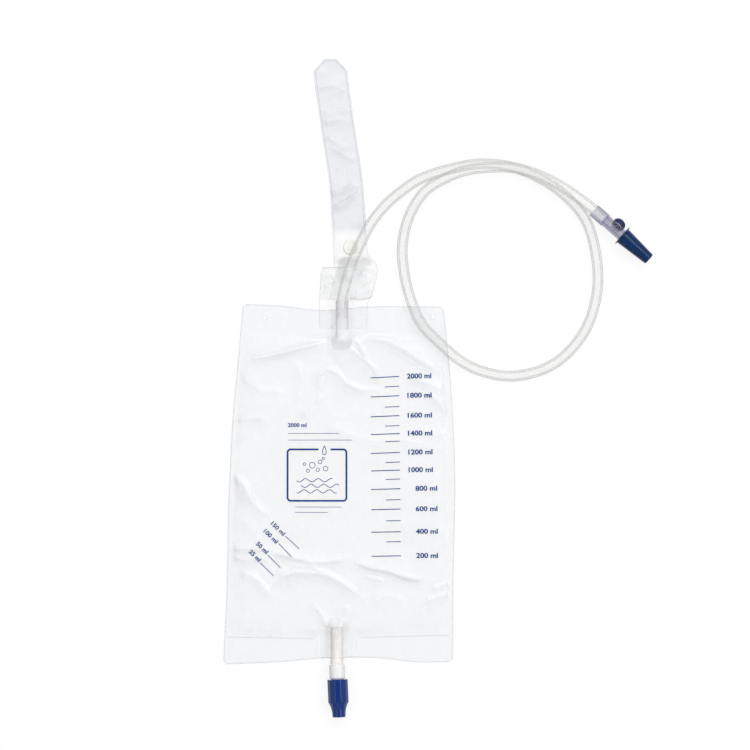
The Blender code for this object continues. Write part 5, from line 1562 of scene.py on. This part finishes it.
class DRAINBAG_OT_print(bpy.types.Operator):
    """The blue graduations and their figures, and a plain sign with a drop and waves"""

    bl_idname = "drainbag.print"
    bl_label = "Printed Scale"

    def execute(self, context):
        self.level = lying_on("creased_front_film", 0.0006)
        shape = bmesh.new()
        self.scale(shape, context.scene.bag_sizes)
        for number, place, start, end in CORNER_LINES:
            self.stroke(shape, (start, end), 0.00062)
            self.figures(shape, number, place, 0.0041, 0.0156 if number > 99 else 0.0128, CORNER_TURN)
        add_piece("printed_scale", finish_mesh(shape, "printed_scale", NO_SHARP_EDGE), FINISHES["ink"])
        shape = bmesh.new()
        self.figures(shape, 2000, (-45.9, 53.1), 0.0037, 0.0168, 0)
        for left, right, y in WRITE_ON_RULES:
            self.stroke(shape, ((left, y), (right, y)), 0.0004)
        self.sign(shape)
        add_piece("printed_sign", finish_mesh(shape, "printed_sign", NO_SHARP_EDGE), FINISHES["ink"])
        return {"FINISHED"}

    def stroke(self, shape, points, width):
        draped_stroke(shape, in_metres(points), width, self.level)

    def figures(self, shape, number, place, tall, wide, turn):
        """A number and its unit, turned by degrees."""
        middle, = in_metres([place])
        lettering(shape, f"{number} ml", middle, tall, wide, math.radians(turn), self.level)

    def scale(self, shape, sizes):
        """The right-hand scale, whose lines lean a little less towards its foot."""
        for number, y in LONG_LINES:
            left, right, lean = (down_scale(y, *pair) for pair in (LINE_LEFT, LINE_RIGHT, LONG_LEAN))
            self.stroke(shape, ((left, y - lean), (right, y)), sizes.scale_line)
            start, wide = FOUR_DIGITS if number > 999 else THREE_DIGITS
            self.figures(shape, number, (down_scale(y, *start), y + 0.3), sizes.figure_height, wide,
                         down_scale(y, *FIGURE_TURN))
        for y in SHORT_LINES:
            right, lean = (down_scale(y, *pair) for pair in (LINE_RIGHT, SHORT_LEAN))
            self.stroke(shape, ((right - SHORT_LENGTH, y - lean), (right, y)), 0.00065)

    def sign(self, shape):
        """A rounded frame open at its top, a drop in the opening, and waves and bubbles inside."""
        left, right, low, high = SIGN_FRAME
        line = [(SIGN_OPENING[1], high)]
        for x, y, first in ((right, high, 90), (right, low, 0), (left, low, -90), (left, high, 180)):
            cx, cy = x - math.copysign(SIGN_ROUND, x), y - math.copysign(SIGN_ROUND, y)
            for angle in np.radians(np.linspace(first, first - 90, 7)):
                line.append((cx + SIGN_ROUND * math.cos(angle), cy + SIGN_ROUND * math.sin(angle)))
        line.append((SIGN_OPENING[0], high))
        self.stroke(shape, line, 0.0016)
        drop = []
        for angle in np.linspace(0, 2 * math.pi, 25):
            wide = 2.3 * math.sin(angle) * abs(math.sin(angle / 2)) ** 1.3
            drop.append((DROP_MIDDLE[0] + wide, DROP_MIDDLE[1] + 4.1 * math.cos(angle)))
        self.stroke(shape, drop, 0.0006)
        for row, ends in enumerate(WAVE_ENDS):
            wave = [(x, -6.5 + 5.0 * row + 1.5 * math.sin((x + 5 * row) * 0.55))
                    for x in np.linspace(*ends, 37)]
            self.stroke(shape, wave, 0.0006)
        for x, y, radius in BUBBLES:
            turns = np.radians(np.arange(0, 361, 20))
            self.stroke(shape, list(zip(x + radius * np.cos(turns), y + radius * np.sin(turns))), 0.0005)


# Welded rectangles beside the inlet port, in metres: left, right, low, high
WELD_PATCHES = ((-0.0165, -0.0044, 0.1411, 0.1549), (0.0112, 0.0231, 0.1412, 0.1541))
# Upright weld lines beside the outlet, in millimetres
WELD_LINES = (((-20.5, -139), (-20.2, -158)), ((-15.8, -137), (-15.4, -158)), ((12.0, -137), (11.6, -157)),
              ((15.5, -138), (15.8, -157)))
# Left and right ends of the line where the bottom weld ends, in metres
WELD_STEP = ((-0.1012, -0.0225), (0.0195, 0.0985))


class DRAINBAG_OT_welds(bpy.types.Operator):
    """The embossed weld marks beside the two ports"""

    bl_idname = "drainbag.welds"
    bl_label = "Weld Marks"

    def execute(self, context):
        level = lying_on("creased_front_film")
        marks = [((left, low), (right, low), (right, high), (left, high), (left, low))
                 for left, right, low, high in WELD_PATCHES]
        marks += [in_metres(line) for line in WELD_LINES]
        add_lines("weld_marks", marks, 0.0006, level, "weld")
        steps = [[(x, weld_line(x)) for x in np.linspace(*ends, 30)] for ends in WELD_STEP]
        add_lines("weld_step", steps, 0.00055, level, "seam_and_fold_shade")
        add_speck("film_speck", (-0.0621, -0.1373, 0.0013), 0.0004)
        return {"FINISHED"}


# The lamps over the table: place, width, length and power, all aimed at one point
LAMPS = (
    ("key", (0.60, 1.70, 2.70), 2.6, 2.6, 46.0),
    ("left_strip", (-1.20, 0.05, 1.75), 0.5, 2.8, 5.0),
    ("right_strip", (1.26, 0.05, 1.75), 0.6, 2.8, 11.0),
)
LAMP_TARGET = (0.03, 0.05, 0.0)
TABLE_PLACE = (0.03, 0.1, -0.0002)
VIEW_MIDDLE = (0.0324, 0.0981)
VIEW_WIDTH = 0.675
SENSOR = 36.0


class DRAINBAG_OT_stage(bpy.types.Operator):
    """The white table, the soft lamps and the camera straight above"""

    bl_idname = "drainbag.stage"
    bl_label = "Stage"

    def execute(self, context):
        scene = context.scene
        shape = bmesh.new()
        bmesh.ops.create_grid(shape, x_segments=2, y_segments=2, size=8.0,
                              matrix=Matrix.Translation(TABLE_PLACE))
        mesh = finish_mesh(shape, "table", normals=False)
        mesh.materials.append(self.table_material())
        table = bpy.data.objects.new("table", mesh)
        scene.collection.objects.link(table)
        self.world(scene)
        for lamp in LAMPS:
            self.lamp(scene, *lamp)
        camera = bpy.data.objects.new("camera", bpy.data.cameras.new("camera"))
        camera.data.lens = scene.bag_sizes.lens
        camera.data.sensor_width = SENSOR
        camera.data.clip_end = 20.0
        camera.location = (*VIEW_MIDDLE, VIEW_WIDTH * scene.bag_sizes.lens / SENSOR)
        scene.collection.objects.link(camera)
        scene.camera = camera
        scene.view_settings.view_transform = "Standard"
        # Sight lines at the neck cross eleven clear walls, more than the default of eight lets through
        scene.cycles.transparent_max_bounces = 32
        return {"FINISHED"}

    def lamp(self, scene, name, place, wide, tall, power):
        light = bpy.data.lights.new(name, "AREA")
        light.shape = "RECTANGLE"
        light.size = wide
        light.size_y = tall
        light.energy = power
        holder = bpy.data.objects.new(name, light)
        holder.location = place
        holder.rotation_euler = (Vector(LAMP_TARGET) - Vector(place)).to_track_quat("-Z", "X").to_euler()
        scene.collection.objects.link(holder)

    def table_material(self):
        """White laminate: it shows white to the camera and through clear plastic, and keeps soft shadows."""
        finish = bpy.data.materials.new("white_laminate")
        finish.use_nodes = True
        tree = finish.node_tree
        shader = tree.nodes["Principled BSDF"]
        shader.inputs["Base Color"].default_value = (*colour("6A6A6A"), 1.0)
        shader.inputs["Roughness"].default_value = 0.8
        shader.inputs["Specular IOR Level"].default_value = 0.1
        path = add(tree, "ShaderNodeLightPath").outputs
        seen = add(tree, "ShaderNodeMath", {0: path["Is Camera Ray"], 1: path["Is Glossy Ray"]},
                   operation="MAXIMUM")
        seen = add(tree, "ShaderNodeMath", {0: seen.outputs[0], 1: path["Is Transmission Ray"]},
                   operation="MAXIMUM")
        lift = add(tree, "ShaderNodeMath", {0: seen.outputs[0], 1: 0.865}, operation="MULTIPLY")
        shader.inputs["Emission Color"].default_value = (1.0, 1.0, 1.0, 1.0)
        tree.links.new(lift.outputs[0], shader.inputs["Emission Strength"])
        return finish

    def world(self, scene):
        """A sky that is brightest halfway up, and dimmer at the horizon and overhead, so clear edges show."""
        world = bpy.data.worlds.new("studio")
        scene.world = world
        world.use_nodes = True
        tree = world.node_tree
        sky = tree.nodes["Background"]
        where = add(tree, "ShaderNodeTexCoord").outputs["Generated"]
        height = add(tree, "ShaderNodeSeparateXYZ", {"Vector": where}).outputs["Z"]
        low = add(tree, "ShaderNodeMapRange", {"Value": height, "From Min": 0.0, "From Max": 0.55,
                                               "To Min": 0.28, "To Max": 0.58})
        overhead = add(tree, "ShaderNodeMapRange", {"Value": height, "From Min": 0.75, "From Max": 0.97,
                                                    "To Min": 0.0, "To Max": 0.36})
        strength = add(tree, "ShaderNodeMath", {0: low.outputs["Result"], 1: overhead.outputs["Result"]},
                       operation="SUBTRACT")
        tree.links.new(strength.outputs[0], sky.inputs["Strength"])
        sky.inputs["Color"].default_value = (1.0, 1.0, 1.0, 1.0)


class DRAINBAG_PT_panel(bpy.types.Panel):
    """Lists the settings and the pieces in the 3D view's sidebar"""

    bl_label = "Drainage Bag"
    bl_idname = "DRAINBAG_PT_panel"
    bl_space_type = "VIEW_3D"
    bl_region_type = "UI"
    bl_category = "Drainage Bag"

    def draw(self, context):
        for group in (context.scene.bag_sizes, context.scene.bag_colours):
            for title in type(group).__annotations__:
                self.layout.prop(group, title)
        for piece in PIECES:
            self.layout.operator(piece.bl_idname)


PIECES = (
    DRAINBAG_OT_stage, DRAINBAG_OT_connector, DRAINBAG_OT_tube, DRAINBAG_OT_films, DRAINBAG_OT_valve_leaves,
    DRAINBAG_OT_port, DRAINBAG_OT_strap, DRAINBAG_OT_cover, DRAINBAG_OT_button, DRAINBAG_OT_outlet,
    DRAINBAG_OT_welds, DRAINBAG_OT_print,
)
CLASSES = (DrainageBagSizes, DrainageBagColours, *PIECES, DRAINBAG_PT_panel)


def register():
    for one in CLASSES:
        bpy.utils.register_class(one)
    bpy.types.Scene.bag_sizes = bpy.props.PointerProperty(type=DrainageBagSizes)
    bpy.types.Scene.bag_colours = bpy.props.PointerProperty(type=DrainageBagColours)


def unregister():
    del bpy.types.Scene.bag_colours
    del bpy.types.Scene.bag_sizes
    for one in reversed(CLASSES):
        bpy.utils.unregister_class(one)


def main():
    register()
    FINISHES.update(make_materials(bpy.context.scene.bag_colours))
    for piece in PIECES:
        group, action = piece.bl_idname.split(".")
        getattr(getattr(bpy.ops, group), action)()


if __name__ == "__main__":
    main()
